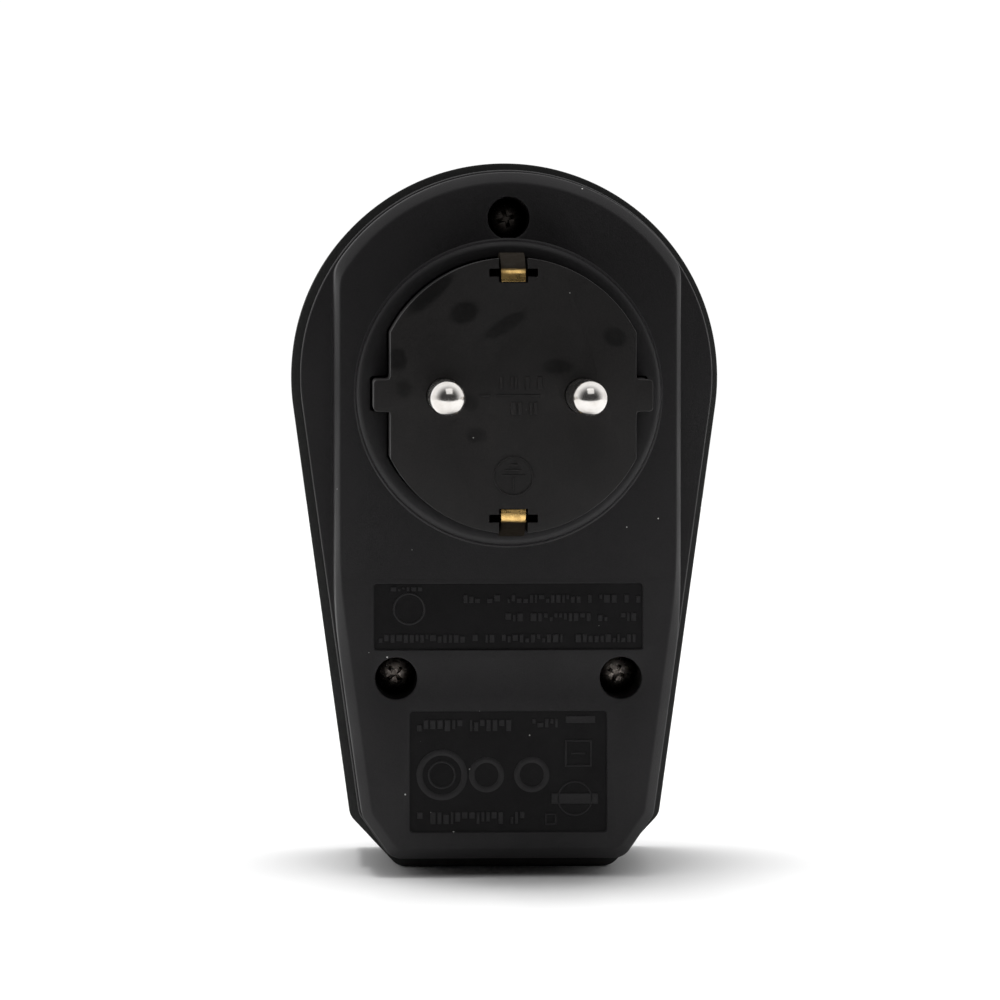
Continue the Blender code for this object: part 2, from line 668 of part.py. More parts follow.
def build_screws():
    """The three housing screws, each seated at the bottom of its well."""
    under_head = PARTING_Y - GAP - WELL_SEAT - GAP
    slot = SCREW_HEAD_RADIUS * 1.3
    slots = ((slot, SCREW_HEAD_HEIGHT, GAP * 3), (GAP * 3, SCREW_HEAD_HEIGHT, slot))
    profile = (
        (0.0, SCREW_HEAD_HEIGHT), (SCREW_HEAD_RADIUS * 0.7, SCREW_HEAD_HEIGHT),
        (SCREW_HEAD_RADIUS, SCREW_HEAD_HEIGHT * 0.5), (SCREW_HEAD_RADIUS, 0.0),
        (SCREW_RADIUS, 0.0), (SCREW_RADIUS, -SCREW_LENGTH), (0.0, -SCREW_LENGTH),
    )
    head_y = under_head - SCREW_HEAD_HEIGHT
    for place_name, (x, z) in zip(("top", "left", "right"), POSTS):
        screw = turned(f"housing_screw_{place_name}", profile, (x, under_head, z))
        for index, size in enumerate(slots):
            cut(screw, box(f"driver_slot_{place_name}_{index}", size, (x, head_y, z)))
        finish(screw, "blackened_steel")


# ---------------------------------------------------------------- plug side
def build_boss():
    boss = plate("plug_boss", boss_outline(), "XZ", 0.0, FLANGE_Y + BOSS_FLANGE / 2)
    flange_end = FLANGE_Y + BOSS_FLANGE
    join(boss, cylinder("boss_flange", BOSS_FLANGE_RADIUS, FLANGE_Y, flange_end))
    cut(boss, cylinder("boss_cavity", BOSS_CAVITY_RADIUS, BOSS_FACE, flange_end + WALL))
    for side in (-1, 1):
        x = side * PIN_X
        join(boss, peg(f"pin_pillar_{side}", PIN_PILLAR_RADIUS, BOSS_FACE / 2, PILLAR_END_Y, x))
        cut(boss, peg(f"pin_hole_{side}", PIN_RADIUS + GAP, -WALL, CARRIER_Y, x))
        cut(boss, *earth_cuts(side))
    finish(boss, "boss_black")


def earth_cuts(side):
    """Room for one earth strap: the open notch along the plug body and the wide slot in its face."""
    half = STRAP_WIDTH / 2 + GAP
    inner = STRAP_TIP_Z - GAP
    outer = BOSS_FLANGE_RADIUS + WALL
    low, high = sorted((side * inner, side * outer))
    notch = box_between(f"earth_notch_{side}", (-half, -WALL, low), (half, CARRIER_Y + WALL, high))
    low, high = sorted((side * (BOSS_CAVITY_RADIUS - WALL), side * outer))
    gate_half = half + GAP
    gate_low = (-gate_half, FLANGE_Y - GAP, low)
    gate = box_between(f"earth_gate_{side}", gate_low, (gate_half, CARRIER_Y + WALL * 2, high))
    slot_half = EARTH_SLOT_WIDTH / 2
    low, high = sorted(side * (BOSS_RADIUS - inset) for inset in EARTH_SLOT_INSET)
    slot = box_between(f"earth_slot_{side}", (-slot_half, -WALL, low), (slot_half, EARTH_SLOT_DEPTH, high))
    return notch, gate, slot


def build_pins():
    tip_steps = 6
    for name, side in (("line_pin", -1), ("neutral_pin", 1)):
        tip_base = PIN_LENGTH - PIN_RADIUS
        tip = arc((0.0, tip_base), PIN_RADIUS, math.pi / 2, 0.0, tip_steps)
        tip[0] = (0.0, PIN_LENGTH)
        head_start = -(PILLAR_END_Y + GAP)
        head_end = head_start - PIN_HEAD_THICKNESS
        tail = [
            (PIN_RADIUS, head_start),
            (PIN_HEAD_RADIUS, head_start),
            (PIN_HEAD_RADIUS, head_end),
            (0.0, head_end),
        ]
        finish(turned(name, tip + tail, (side * PIN_X, 0.0, 0.0)), "nickel")


def strap_line():
    """Middle line of the upper strap as (y, z): folded tip, bulge beside the plug body, jog, clip."""
    collar_y = BACK_Y - COLLAR_RISE
    bulge_z = BOSS_RADIUS + STRAP_BULGE - STRAP_THICKNESS / 2
    enter_z = STRAP_PLUG_Z
    tip_end = STRAP_TIP_Z + STRAP_TIP_HEIGHT
    jog_start = PARTING_Y
    jog_end = jog_start + STRAP_JOG * 1.5
    clip_z = RECESS_RADIUS + STRAP_THICKNESS / 2 + GAP / 2
    bump_start = RECESS_FLOOR_Y + RECESS_DEPTH / 5
    bump_end = FRONT_Y - RECESS_DEPTH / 3
    return (
        (STRAP_TIP_SINK, STRAP_TIP_Z),
        (STRAP_TIP_SINK, tip_end),
        (collar_y * 0.14, (tip_end + bulge_z) / 2),
        (collar_y * 0.34, bulge_z - GAP / 2),
        (collar_y * 0.6, bulge_z),
        (collar_y * 0.82, (bulge_z + enter_z) / 2 + GAP / 2),
        (collar_y * 0.96, enter_z + GAP / 2),
        (BACK_Y, enter_z),
        (jog_start, enter_z),
        (jog_end, clip_z),
        (bump_start, clip_z),
        ((bump_start + bump_end) / 2, clip_z - STRAP_BUMP),
        (bump_end, clip_z),
        (bump_end + STRAP_JOG, clip_z),
    )


def build_earth_straps():
    middle_line = strap_line()
    upper = ribbon(middle_line, STRAP_THICKNESS)
    lower = [(y, -z) for y, z in upper]
    half = STRAP_WIDTH / 2
    for name, outline in (("earth_strap_upper", upper), ("earth_strap_lower", lower)):
        finish(plate(name, outline, "YZ", -half, half), "brass")
    reach = STRAP_PLUG_Z - STRAP_THICKNESS / 2 - GAP
    y_end = CARRIER_Y - GAP
    bridge = box_between("earth_bridge", (-half, y_end - BRIDGE_THICKNESS, -reach), (half, y_end, reach))
    finish(bridge, "brass")


def build_pin_strips():
    """The strip on the line pin's tail, and the strip from the neutral pin to its socket contact."""
    tail_y = PILLAR_END_Y + GAP + PIN_HEAD_THICKNESS + GAP
    half = PIN_HEAD_RADIUS * 0.75
    tab_reach = math.sqrt((BOSS_CAVITY_RADIUS - GAP) ** 2 - (PIN_X + half) ** 2)
    line_low = (-PIN_X - half, tail_y, -tab_reach)
    line_high = (-PIN_X + half, tail_y + STRAP_THICKNESS, half)
    finish(box_between("line_tab", line_low, line_high), "brass")
    middle = tail_y + STRAP_THICKNESS / 2
    top = CARRIER_Y - STRAP_THICKNESS / 2
    outer_x = PIN_X + CONTACT_WIDTH / 2 - STRAP_THICKNESS / 2
    inner_x = PIN_X - half
    path = ((inner_x, middle), (outer_x, middle), (outer_x, top), (inner_x, top))
    busbar = plate("neutral_busbar", ribbon(path, STRAP_THICKNESS), "XY", -half, half)
    finish(busbar, "brass")
    return tail_y


# ---------------------------------------------------------------- socket side
def build_cup():
    cup = cylinder("socket_cup", CUP_RADIUS, CUP_Y, FRONT_Y)
    cut(cup, cylinder("recess", RECESS_RADIUS, RECESS_FLOOR_Y, FRONT_Y + WALL))
    reach, height = GUIDE_SIZE
    inner = RECESS_RADIUS + CUP_WALL / 2 - reach
    start = GUIDE_GAP / 2
    for side_x in (-1, 1):
        for side_z in (-1, 1):
            x_low, x_high = sorted((side_x * inner, side_x * (inner + reach)))
            z_low, z_high = sorted((side_z * start, side_z * (start + height)))
            # its outer corner ends inside the round wall
            low = (x_low, RECESS_FLOOR_Y - CUP_FLOOR / 2, z_low)
            guide = box_between(f"guide_{side_x}_{side_z}", low, (x_high, FRONT_Y - WALL, z_high))
            join(cup, guide)
    half = STRAP_WIDTH / 2 + GAP
    for side in (-1, 1):
        cut(cup, peg(f"cup_pin_hole_{side}", PIN_HOLE_RADIUS, 0.0, FRONT_Y, side * PIN_X))
        low, high = sorted((side * (RECESS_RADIUS - GAP), side * (CUP_RADIUS + WALL)))
        end = FRONT_Y - RECESS_DEPTH / 3 + STRAP_JOG + GAP * 2
        cut(cup, box_between(f"clip_slot_{side}", (-half, CUP_Y - WALL, low), (half, end, high)))
    finish(cup, "cup_black")


def build_shutter():
    shutter = cylinder("shutter_disc", SHUTTER_RADIUS, SHUTTER_Y, SHUTTER_Y + SHUTTER_THICKNESS)
    start = SHUTTER_Y - WALL
    end = SHUTTER_Y + WALL * 2
    for side in (-1, 1):
        x = side * PIN_X * math.cos(SHUTTER_TURN)
        z = side * PIN_X * math.sin(SHUTTER_TURN)
        cut(shutter, peg(f"shutter_hole_{side}", PIN_HOLE_RADIUS, start, end, x, z))
    cut(shutter, peg("shutter_bore", PIVOT_RADIUS + GAP, start, end))
    finish(shutter, "carrier_grey")
    pivot_start = CARRIER_END_Y - PIVOT_SINK
    pivot = peg("shutter_pivot", PIVOT_RADIUS, pivot_start + GAP, CUP_Y - GAP)
    finish(pivot, "spring_steel")


def build_spring():
    points_per_turn = 10
    count = int(SPRING_TURNS * points_per_turn)
    low = CARRIER_END_Y - SPRING_POCKET_DEPTH + GAP + SPRING_WIRE
    rise = SPRING_POCKET_DEPTH - 2 * (GAP + SPRING_WIRE)
    path = []
    for i in range(count + 1):
        angle = 2 * math.pi * i / points_per_turn
        y = low + rise * i / count
        path.append((SPRING_RADIUS * math.cos(angle), y, SPRING_RADIUS * math.sin(angle)))
    finish(wire("shutter_spring", path, SPRING_WIRE), "spring_steel")


def build_carrier():
    half_width = PIN_X + CONTACT_WIDTH / 2 + GAP + CONTACT_WALL
    low = (-half_width, CARRIER_Y, -CARRIER_HALF_HEIGHT)
    carrier = box_between("contact_carrier", low, (half_width, CARRIER_END_Y, CARRIER_HALF_HEIGHT))
    plate_y = CARRIER_END_Y - CARRIER_PLATE
    bed = cylinder("carrier_bed", SHUTTER_RADIUS + WALL, plate_y, CARRIER_END_Y)
    join(carrier, bed)
    pocket_x = CONTACT_WIDTH / 2 + GAP
    pocket_z = CONTACT_HEIGHT / 2 + GAP
    past_end = CARRIER_END_Y + WALL
    half = STRAP_WIDTH / 2 + GAP
    notch_z = STRAP_PLUG_Z - STRAP_THICKNESS / 2 - GAP
    for side in (-1, 1):
        x = side * PIN_X
        low = (x - pocket_x, CARRIER_Y - WALL, -pocket_z)
        cut(carrier, box_between(f"contact_pocket_{side}", low, (x + pocket_x, past_end, pocket_z)))
        z_low, z_high = sorted((side * notch_z, side * 2 * RECESS_RADIUS))
        notch = box_between(f"bed_notch_{side}", (-half, CARRIER_Y, z_low), (half, past_end, z_high))
        cut(carrier, notch)
    cut(carrier, peg("pivot_bore", PIVOT_RADIUS + GAP, CARRIER_END_Y - PIVOT_SINK, past_end))
    pocket_radius = SPRING_RADIUS + SPRING_WIRE + GAP
    cut(carrier, peg("spring_pocket", pocket_radius, CARRIER_END_Y - SPRING_POCKET_DEPTH, past_end))
    finish(carrier, "carrier_grey")


def build_contacts():
    """Two sprung forks; the leaves lean in until they are closer than a pin is wide."""
    start = CARRIER_Y + GAP + CONTACT_THICKNESS / 2
    end = CARRIER_END_Y - GAP
    outer = (CONTACT_WIDTH - CONTACT_THICKNESS) / 2
    pinch = PIN_RADIUS + CONTACT_THICKNESS / 2 - GAP
    pinch_y = start + (end - start) * 0.75
    half = CONTACT_HEIGHT / 2
    for name, side in (("line_contact", -1), ("neutral_contact", 1)):
        x = side * PIN_X
        path = (
            (x - outer, end), (x - pinch, pinch_y), (x - outer, start),
            (x + outer, start), (x + pinch, pinch_y), (x + outer, end),
        )
        finish(plate(name, ribbon(path, CONTACT_THICKNESS), "XY", -half, half), "brass")


# ---------------------------------------------------------------- leads and board
def build_leads(tail_y):
    board_z = BOARD_TOP_Z - LEAD_DROP
    end_y = BOARD_Y - GAP
    mouth = BOSS_CAVITY_RADIUS - LEAD_RADIUS * 2
    strip_y = tail_y + STRAP_THICKNESS + GAP + LEAD_RADIUS
    below = -CARRIER_HALF_HEIGHT - LEAD_RADIUS - GAP
    into_board = (end_y - LEAD_RADIUS * 2, board_z)
    routes = {
        "line_lead": (
            (-PIN_X, strip_y, -PIN_RADIUS),
            (-PIN_X * 0.92, strip_y + LEAD_RADIUS, below),
            (-PIN_X * 0.75, CARRIER_Y, -mouth * 0.84),
            (-PIN_X * 0.8, (CARRIER_Y + end_y) / 2, board_z * 0.78),
            (-PIN_X * 0.8, *into_board),
            (-PIN_X * 0.8, end_y, board_z),
        ),
        "switched_lead": (
            (-PIN_X + LEAD_RADIUS, CARRIER_Y - LEAD_RADIUS, 0.0),
            (-PIN_X * 0.55, CARRIER_Y - LEAD_RADIUS * 1.6, below * 0.8),
            (-PIN_X * 0.42, CARRIER_Y, -mouth * 0.95),
            (-PIN_X * 0.42, (CARRIER_Y + end_y) / 2, board_z * 0.84),
            (-PIN_X * 0.42, *into_board),
            (-PIN_X * 0.42, end_y, board_z),
        ),
        "neutral_lead": (
            (PIN_X, strip_y, -PIN_RADIUS),
            (PIN_X * 0.92, strip_y + LEAD_RADIUS, below),
            (PIN_X * 0.75, CARRIER_Y, -mouth * 0.84),
            (PIN_X * 0.7, (CARRIER_Y + end_y) / 2, board_z * 0.78),
            (PIN_X * 0.7, *into_board),
            (PIN_X * 0.7, end_y, board_z),
        ),
    }
    colours = {"line_lead": "lead_brown", "switched_lead": "lead_brown", "neutral_lead": "lead_blue"}
    for name, route in routes.items():
        finish(wire(name, smooth_path(route, 4), LEAD_RADIUS), colours[name])


def build_board():
    inset = WALL + GAP + BOARD_EDGE
    top = FRONT.half_width(BOARD_TOP_Z, inset)
    foot = FRONT.half_width(BOARD_FOOT_Z, inset)
    outline = ((-foot, BOARD_FOOT_Z), (foot, BOARD_FOOT_Z), (top, BOARD_TOP_Z), (-top, BOARD_TOP_Z))
    board = plate("main_board", outline, "XZ", BOARD_Y, BOARD_FRONT_Y)
    start = BOARD_Y - WALL
    end = BOARD_FRONT_Y + WALL
    for index, (x, z) in enumerate(POSTS[1:]):
        cut(board, peg(f"board_clear_{index}", POST_RADIUS + GAP, start, end, x, z))
    for index, (x, z) in enumerate(BOARD_SCREWS):
        cut(board, peg(f"board_fix_{index}", BOARD_SCREW_RADIUS + GAP, start, end, x, z))
    finish(board, "board_green")
    head_radius, head_height = BOARD_SCREW_HEAD
    head_y = BOARD_Y - GAP
    tip_y = BOARD_FRONT_Y + BOARD_SCREW_LENGTH
    profile = (
        (0.0, head_height), (head_radius * 0.8, head_height), (head_radius, head_height * 0.4),
        (head_radius, 0.0), (BOARD_SCREW_RADIUS, 0.0), (BOARD_SCREW_RADIUS, head_y - tip_y),
        (0.0, head_y - tip_y),
    )
    for side_name, (x, z) in zip(("left", "right"), BOARD_SCREWS):
        finish(turned(f"board_screw_{side_name}", profile, (x, head_y, z)), "tinned")


def build_back_components():
    """Relay, film capacitor, varistor, fuse, rectifier and choke, on the board's back."""
    edge = 0.5 * MM
    z = BOARD_TOP_Z - RELAY_DROP
    finish(soften(on_board("relay", RELAY, 0.0, z), edge), "relay_black")
    z -= RELAY[2] + ROW_GAP
    finish(soften(on_board("film_capacitor", FILM_CAPACITOR, 0.0, z), edge), "capacitor_yellow")
    z -= FILM_CAPACITOR[2] + ROW_GAP
    rectifier_x = -FILM_CAPACITOR[0] / 4
    finish(soften(on_board("bridge_rectifier", RECTIFIER, rectifier_x, z), edge / 2), "chip_black")
    radius, height = CHOKE
    choke_z = z - radius * 0.75
    waist = radius * 0.62
    lip = height * 0.15
    profile = (
        (0.0, height), (radius * 0.75, height), (radius * 0.75, height - lip), (waist, height - lip),
        (waist, lip), (radius * 0.75, lip), (radius * 0.75, 0.0), (0.0, 0.0),
    )
    finish(turned("filter_choke", profile, (-rectifier_x, BOARD_Y - GAP, choke_z)), "ferrite")
    side_x = LOWER_POST_X - ROW_GAP
    side_z = LOWER_POST_Z - WELL_RADIUS - WELL_WALL - ROW_GAP
    disc_radius, disc_thickness = VARISTOR
    disc_y = BOARD_Y - GAP - disc_radius
    profile = (
        (0.0, disc_thickness), (disc_radius * 0.8, disc_thickness), (disc_radius, disc_thickness * 0.75),
        (disc_radius, disc_thickness * 0.25), (disc_radius * 0.8, 0.0), (0.0, 0.0),
    )
    location = (side_x - disc_thickness / 2, disc_y, side_z - disc_radius)
    finish(turned("varistor", profile, location, (0.0, math.radians(90.0), 0.0)), "varistor_blue")
    fuse_radius, fuse_length = FUSE
    cap = fuse_radius * 0.88
    band = fuse_length * 0.22
    profile = (
        (0.0, fuse_length), (fuse_radius, fuse_length), (fuse_radius, fuse_length - band),
        (cap, fuse_length - band), (cap, band), (fuse_radius, band), (fuse_radius, 0.0), (0.0, 0.0),
    )
    location = (-side_x, BOARD_Y - GAP - fuse_radius, side_z - fuse_length)
    finish(turned("fuse", profile, location, (0.0, 0.0, 0.0)), "fuse_ceramic")


def build_front_components():
    """Transformer, bulk capacitors, controller, radio, LED and switch, on the board's front."""
    edge = 0.4 * MM
    row_z = LOWER_POST_Z - POST_RADIUS - ROW_GAP
    x = -LIGHT_RADIUS - LIGHT_LIP - ROW_GAP - TRANSFORMER[0] / 2
    core = on_board("transformer_core", TRANSFORMER, x, row_z, front=True)
    window = (TRANSFORMER[0] * 0.62, TRANSFORMER[1] + WALL, TRANSFORMER[2] * 0.6)
    centre = (x, BOARD_FRONT_Y + GAP + TRANSFORMER[1] / 2, row_z - TRANSFORMER[2] / 2)
    cut(core, box("core_window", window, centre))
    finish(core, "ferrite")
    bobbin_size = (window[0] - 2 * GAP, TRANSFORMER[1] * 0.9, window[2] - 2 * GAP)
    bobbin_top = row_z - (TRANSFORMER[2] - bobbin_size[2]) / 2
    bobbin = on_board("transformer_bobbin", bobbin_size, x, bobbin_top, front=True)
    finish(soften(bobbin, edge), "bobbin_yellow")

    radius, height = BULK_CAPACITOR
    first_x = LIGHT_RADIUS + LIGHT_LIP + ROW_GAP + radius
    groove = radius * 0.06
    profile = (
        (0.0, height), (radius - groove * 2, height), (radius, height - groove * 2),
        (radius, height * 0.16), (radius - groove, height * 0.12), (radius, height * 0.08),
        (radius, 0.0), (0.0, 0.0),
    )
    top_down = (-ALONG_Y[0], 0.0, 0.0)
    for index in range(2):
        location = (first_x + index * (2 * radius + GAP), BOARD_FRONT_Y + GAP, row_z - radius - ROW_GAP)
        finish(turned(f"bulk_capacitor_{index + 1}", profile, location, top_down), "can_sleeve")

    chip_x = -SWITCH_BODY[0] / 2 - ROW_GAP * 4 - CHIP[0] / 2
    top = BOARD_TOP_Z - ROW_GAP * 3
    finish(soften(on_board("controller_chip", CHIP, chip_x, top, front=True), edge / 2), "chip_black")
    radio_x = SWITCH_BODY[0] / 2 + ROW_GAP * 2 + RADIO_BOARD[0] / 2
    finish(on_board("radio_board", RADIO_BOARD, radio_x, top, front=True), "board_green")
    can_y = BOARD_FRONT_Y + GAP + RADIO_BOARD[1] + GAP
    can_low = (radio_x - RADIO_CAN[0] / 2, can_y, top - RADIO_BOARD[2] + ROW_GAP)
    can_high = (radio_x + RADIO_CAN[0] / 2, can_y + RADIO_CAN[1], can_low[2] + RADIO_CAN[2])
    finish(soften(box_between("radio_can", can_low, can_high), edge), "tinned")
    antenna_radius = (CUP_RADIUS + GAP + HEAD_RADIUS - WALL) / 2
    antenna_y = can_y + RADIO_CAN[1] + ANTENNA_WIRE * 3
    start = (radio_x, can_y + ANTENNA_WIRE + GAP, top - ANTENNA_WIRE * 2)
    arc_points = arc((0.0, 0.0), antenna_radius, math.radians(-62.0), math.radians(25.0), 12)
    path = [start, (radio_x, antenna_y, top - ANTENNA_WIRE)]
    path += [(arc_x, antenna_y, arc_z) for arc_x, arc_z in arc_points]
    finish(wire("antenna_wire", path, ANTENNA_WIRE), "tinned")

    led_radius = LIGHT_RADIUS
    dome = arc((0.0, LED_HEIGHT - led_radius), led_radius, math.pi / 2, 0.0, 4)
    dome[0] = (0.0, LED_HEIGHT)
    base = [(led_radius, GAP * 2), (led_radius + GAP, GAP * 2), (led_radius + GAP, 0.0), (0.0, 0.0)]
    led = turned("status_led", dome + base, (0.0, BOARD_FRONT_Y + GAP, LIGHT_Z), top_down)
    finish(led, "clear_plastic")


def build_light_and_button():
    lip_y = FRONT_INNER_Y - GAP
    pipe_start = BOARD_FRONT_Y + GAP + LED_HEIGHT + GAP
    pipe = peg("light_pipe", LIGHT_RADIUS, pipe_start, FRONT_Y + LIGHT_PROUD, z=LIGHT_Z)
    lip = peg("light_lip", LIGHT_RADIUS + LIGHT_LIP, lip_y - LIGHT_LIP, lip_y, z=LIGHT_Z)
    finish(join(pipe, lip), "clear_plastic")

    switch_top = BOARD_FRONT_Y + GAP + SWITCH_BODY[1]
    switch = on_board("tact_switch", SWITCH_BODY, 0.0, BUTTON_Z + SWITCH_BODY[2] / 2, front=True)
    bore_start = switch_top - PLUNGER_BORE
    cut(switch, peg("plunger_bore", PLUNGER_RADIUS + GAP, bore_start, switch_top + WALL, z=BUTTON_Z))
    finish(switch, "chip_black")

    lip_y = FRONT_INNER_Y - GAP - BUTTON_LIP_THICKNESS
    stem_y = lip_y - STEM_LENGTH
    plunger_start = switch_top - PLUNGER_SINK
    plunger = peg("switch_plunger", PLUNGER_RADIUS, plunger_start, stem_y - GAP, z=BUTTON_Z)
    finish(plunger, "clear_plastic")

    top_y = FRONT_Y + BUTTON_PROUD
    crown = BUTTON_PROUD / 2
    lip_radius = BUTTON_RADIUS + BUTTON_LIP
    lip_top = lip_y + BUTTON_LIP_THICKNESS
    profile = (
        (0.0, top_y), (BUTTON_RADIUS - crown, top_y), (BUTTON_RADIUS, top_y - crown),
        (BUTTON_RADIUS, lip_top), (lip_radius, lip_top), (lip_radius, lip_y),
        (STEM_RADIUS, lip_y), (STEM_RADIUS, stem_y), (0.0, stem_y),
    )
    profile = [(radius, y - lip_y) for radius, y in profile]
    rotation = (-ALONG_Y[0], 0.0, 0.0)
    cap = turned("button_cap", profile, (0.0, lip_y, BUTTON_Z), rotation, FINE_ROUND * 2)
    finish(cap, "button_black")


build_rear_shell()
build_front_shell()
build_screws()
build_boss()
build_pins()
build_earth_straps()
strip_tail_y = build_pin_strips()
build_cup()
build_shutter()
build_spring()
build_carrier()
build_contacts()
build_leads(strip_tail_y)
build_board()
build_back_components()
build_front_components()
build_light_and_button()
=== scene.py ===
import math
import random

import bmesh
import bpy
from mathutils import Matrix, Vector


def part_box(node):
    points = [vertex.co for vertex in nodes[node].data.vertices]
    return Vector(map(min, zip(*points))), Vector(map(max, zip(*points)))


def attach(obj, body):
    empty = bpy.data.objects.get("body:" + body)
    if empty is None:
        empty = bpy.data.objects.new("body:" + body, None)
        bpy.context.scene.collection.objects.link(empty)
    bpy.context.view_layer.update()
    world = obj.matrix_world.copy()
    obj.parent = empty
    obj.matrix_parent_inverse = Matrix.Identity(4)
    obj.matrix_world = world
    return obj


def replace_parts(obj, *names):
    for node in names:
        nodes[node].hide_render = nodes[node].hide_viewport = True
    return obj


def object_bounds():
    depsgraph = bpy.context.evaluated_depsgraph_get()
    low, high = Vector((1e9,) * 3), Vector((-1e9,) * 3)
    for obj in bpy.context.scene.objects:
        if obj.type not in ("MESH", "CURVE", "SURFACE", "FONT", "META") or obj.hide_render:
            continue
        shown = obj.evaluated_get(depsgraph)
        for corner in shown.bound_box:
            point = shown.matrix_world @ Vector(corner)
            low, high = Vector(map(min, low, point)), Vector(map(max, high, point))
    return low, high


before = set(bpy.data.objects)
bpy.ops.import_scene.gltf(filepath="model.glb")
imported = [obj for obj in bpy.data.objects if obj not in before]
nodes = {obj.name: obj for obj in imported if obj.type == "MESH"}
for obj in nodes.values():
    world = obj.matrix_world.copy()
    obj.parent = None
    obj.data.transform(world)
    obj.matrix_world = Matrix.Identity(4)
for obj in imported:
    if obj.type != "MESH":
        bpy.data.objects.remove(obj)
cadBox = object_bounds()
mm = 0.001
print("frame loaded:", len(nodes), "nodes")


# shader helpers

class Wire:
    # one output socket; sums and products on it add Math nodes
    def __init__(self, paint, socket):
        self.paint = paint
        self.socket = socket

    def maths(self, operation, first, second=0.0):
        return self.paint.add("ShaderNodeMath", {"operation": operation}, {0: first, 1: second})

    def __add__(self, other):
        return self.maths("ADD", self, other)

    def __radd__(self, other):
        return self.maths("ADD", other, self)

    def __sub__(self, other):
        return self.maths("SUBTRACT", self, other)

    def __rsub__(self, other):
        return self.maths("SUBTRACT", other, self)

    def __mul__(self, other):
        return self.maths("MULTIPLY", self, other)

    def __rmul__(self, other):
        return self.maths("MULTIPLY", other, self)

    def __gt__(self, other):
        return self.maths("GREATER_THAN", self, other)

    def __lt__(self, other):
        return self.maths("LESS_THAN", self, other)

    def clipped(self):
        return self.paint.add("ShaderNodeMath", {"operation": "ADD", "use_clamp": True}, {0: self, 1: 0.0})


class Graph:
    # one node tree; add() makes every node: settings first, then what its sockets get
    def __init__(self, owner, last):
        owner.use_nodes = True
        self.tree = owner.node_tree
        self.shader = self.tree.nodes[last]

    def add(self, kind, settings=None, values=None, output=0):
        node = self.tree.nodes.new(kind)
        for key, value in (settings or {}).items():
            if key == "stops":
                ramp = node.color_ramp
                while len(ramp.elements) < len(value):
                    ramp.elements.new(0.5)
                for element, (position, level) in zip(ramp.elements, value):
                    element.position = position
                    element.color = (level, level, level, 1.0)
            else:
                setattr(node, key, value)
        for key, value in (values or {}).items():
            self.feed(node.inputs[key], value)
        return Wire(self, node.outputs[output])

    def feed(self, socket, value):
        if isinstance(value, Wire):
            self.tree.links.new(value.socket, socket)
        elif isinstance(value, (tuple, list)) and len(value) == 3 and socket.type == "RGBA":
            socket.default_value = (*value, 1.0)
        else:
            socket.default_value = value

    def done(self, **sockets):
        for name, value in sockets.items():
            self.feed(self.shader.inputs[name.replace("_", " ")], value)


class Paint(Graph):
    # one material
    def __init__(self, name):
        self.material = bpy.data.materials.new(name)
        super().__init__(self.material, "Principled BSDF")
        self.place = None

    def where(self):
        if self.place is None:
            self.place = self.add("ShaderNodeTexCoord", None, None, 3)
        return self.place

    # noise whose blobs are about size millimetres across
    def noise(self, size, detail=2.0, rough=0.5, stretch=None):
        spot = self.where()
        if stretch:
            spot = self.add("ShaderNodeVectorMath", {"operation": "MULTIPLY"}, {0: spot, 1: stretch})
        settings = {"noise_dimensions": "3D"}
        values = {"Vector": spot, "Scale": 1000.0 / size, "Detail": detail, "Roughness": rough}
        return self.add("ShaderNodeTexNoise", settings, values)

    def cells(self, size, output=0):
        values = {"Vector": self.where(), "Scale": 1000.0 / size}
        return self.add("ShaderNodeTexVoronoi", {"feature": "F1"}, values, output)

    def axis(self, name):
        return self.add("ShaderNodeSeparateXYZ", None, {0: self.where()}, "XYZ".index(name))

    # an ellipse on the XZ plane, 1 inside and 0 outside, its outline frayed by noise
    def blot(self, centre, reach, turn):
        spot = self.add("ShaderNodeMapping", {"vector_type": "TEXTURE"}, {
            "Vector": self.where(), "Location": (centre[0] * mm, 0.0, centre[1] * mm),
            "Rotation": (0.0, math.radians(turn), 0.0), "Scale": (reach[0] * mm, 1.0, reach[1] * mm),
        })
        near = self.add("ShaderNodeTexGradient", {"gradient_type": "SPHERICAL"}, {"Vector": spot})
        return self.ramp(near * (0.35 + self.noise(2.4, 4.0, 0.65) * 1.3), ((0.1, 0.0), (0.42, 1.0)))

    def ramp(self, value, stops):
        return self.add("ShaderNodeValToRGB", {"stops": stops}, {0: value})

    def mix(self, factor, first, second):
        settings = {"data_type": "RGBA", "clamp_factor": True}
        return self.add("ShaderNodeMix", settings, {0: factor, 6: first, 7: second}, 2)

    def bump(self, height, depth, strength=1.0, normal=None):
        values = {"Strength": strength, "Distance": depth * mm, "Height": height}
        if normal is not None:
            values["Normal"] = normal
        return self.add("ShaderNodeBump", None, values)

    def done(self, **sockets):
        super().done(**sockets)
        return self.material


# small white dust grains: the few cell centres that lie right at the surface
def dustMask(paint, spacing, grain):
    reach = paint.cells(spacing)
    return paint.ramp(reach, ((grain / spacing, 1.0), (grain * 1.5 / spacing, 0.0)))


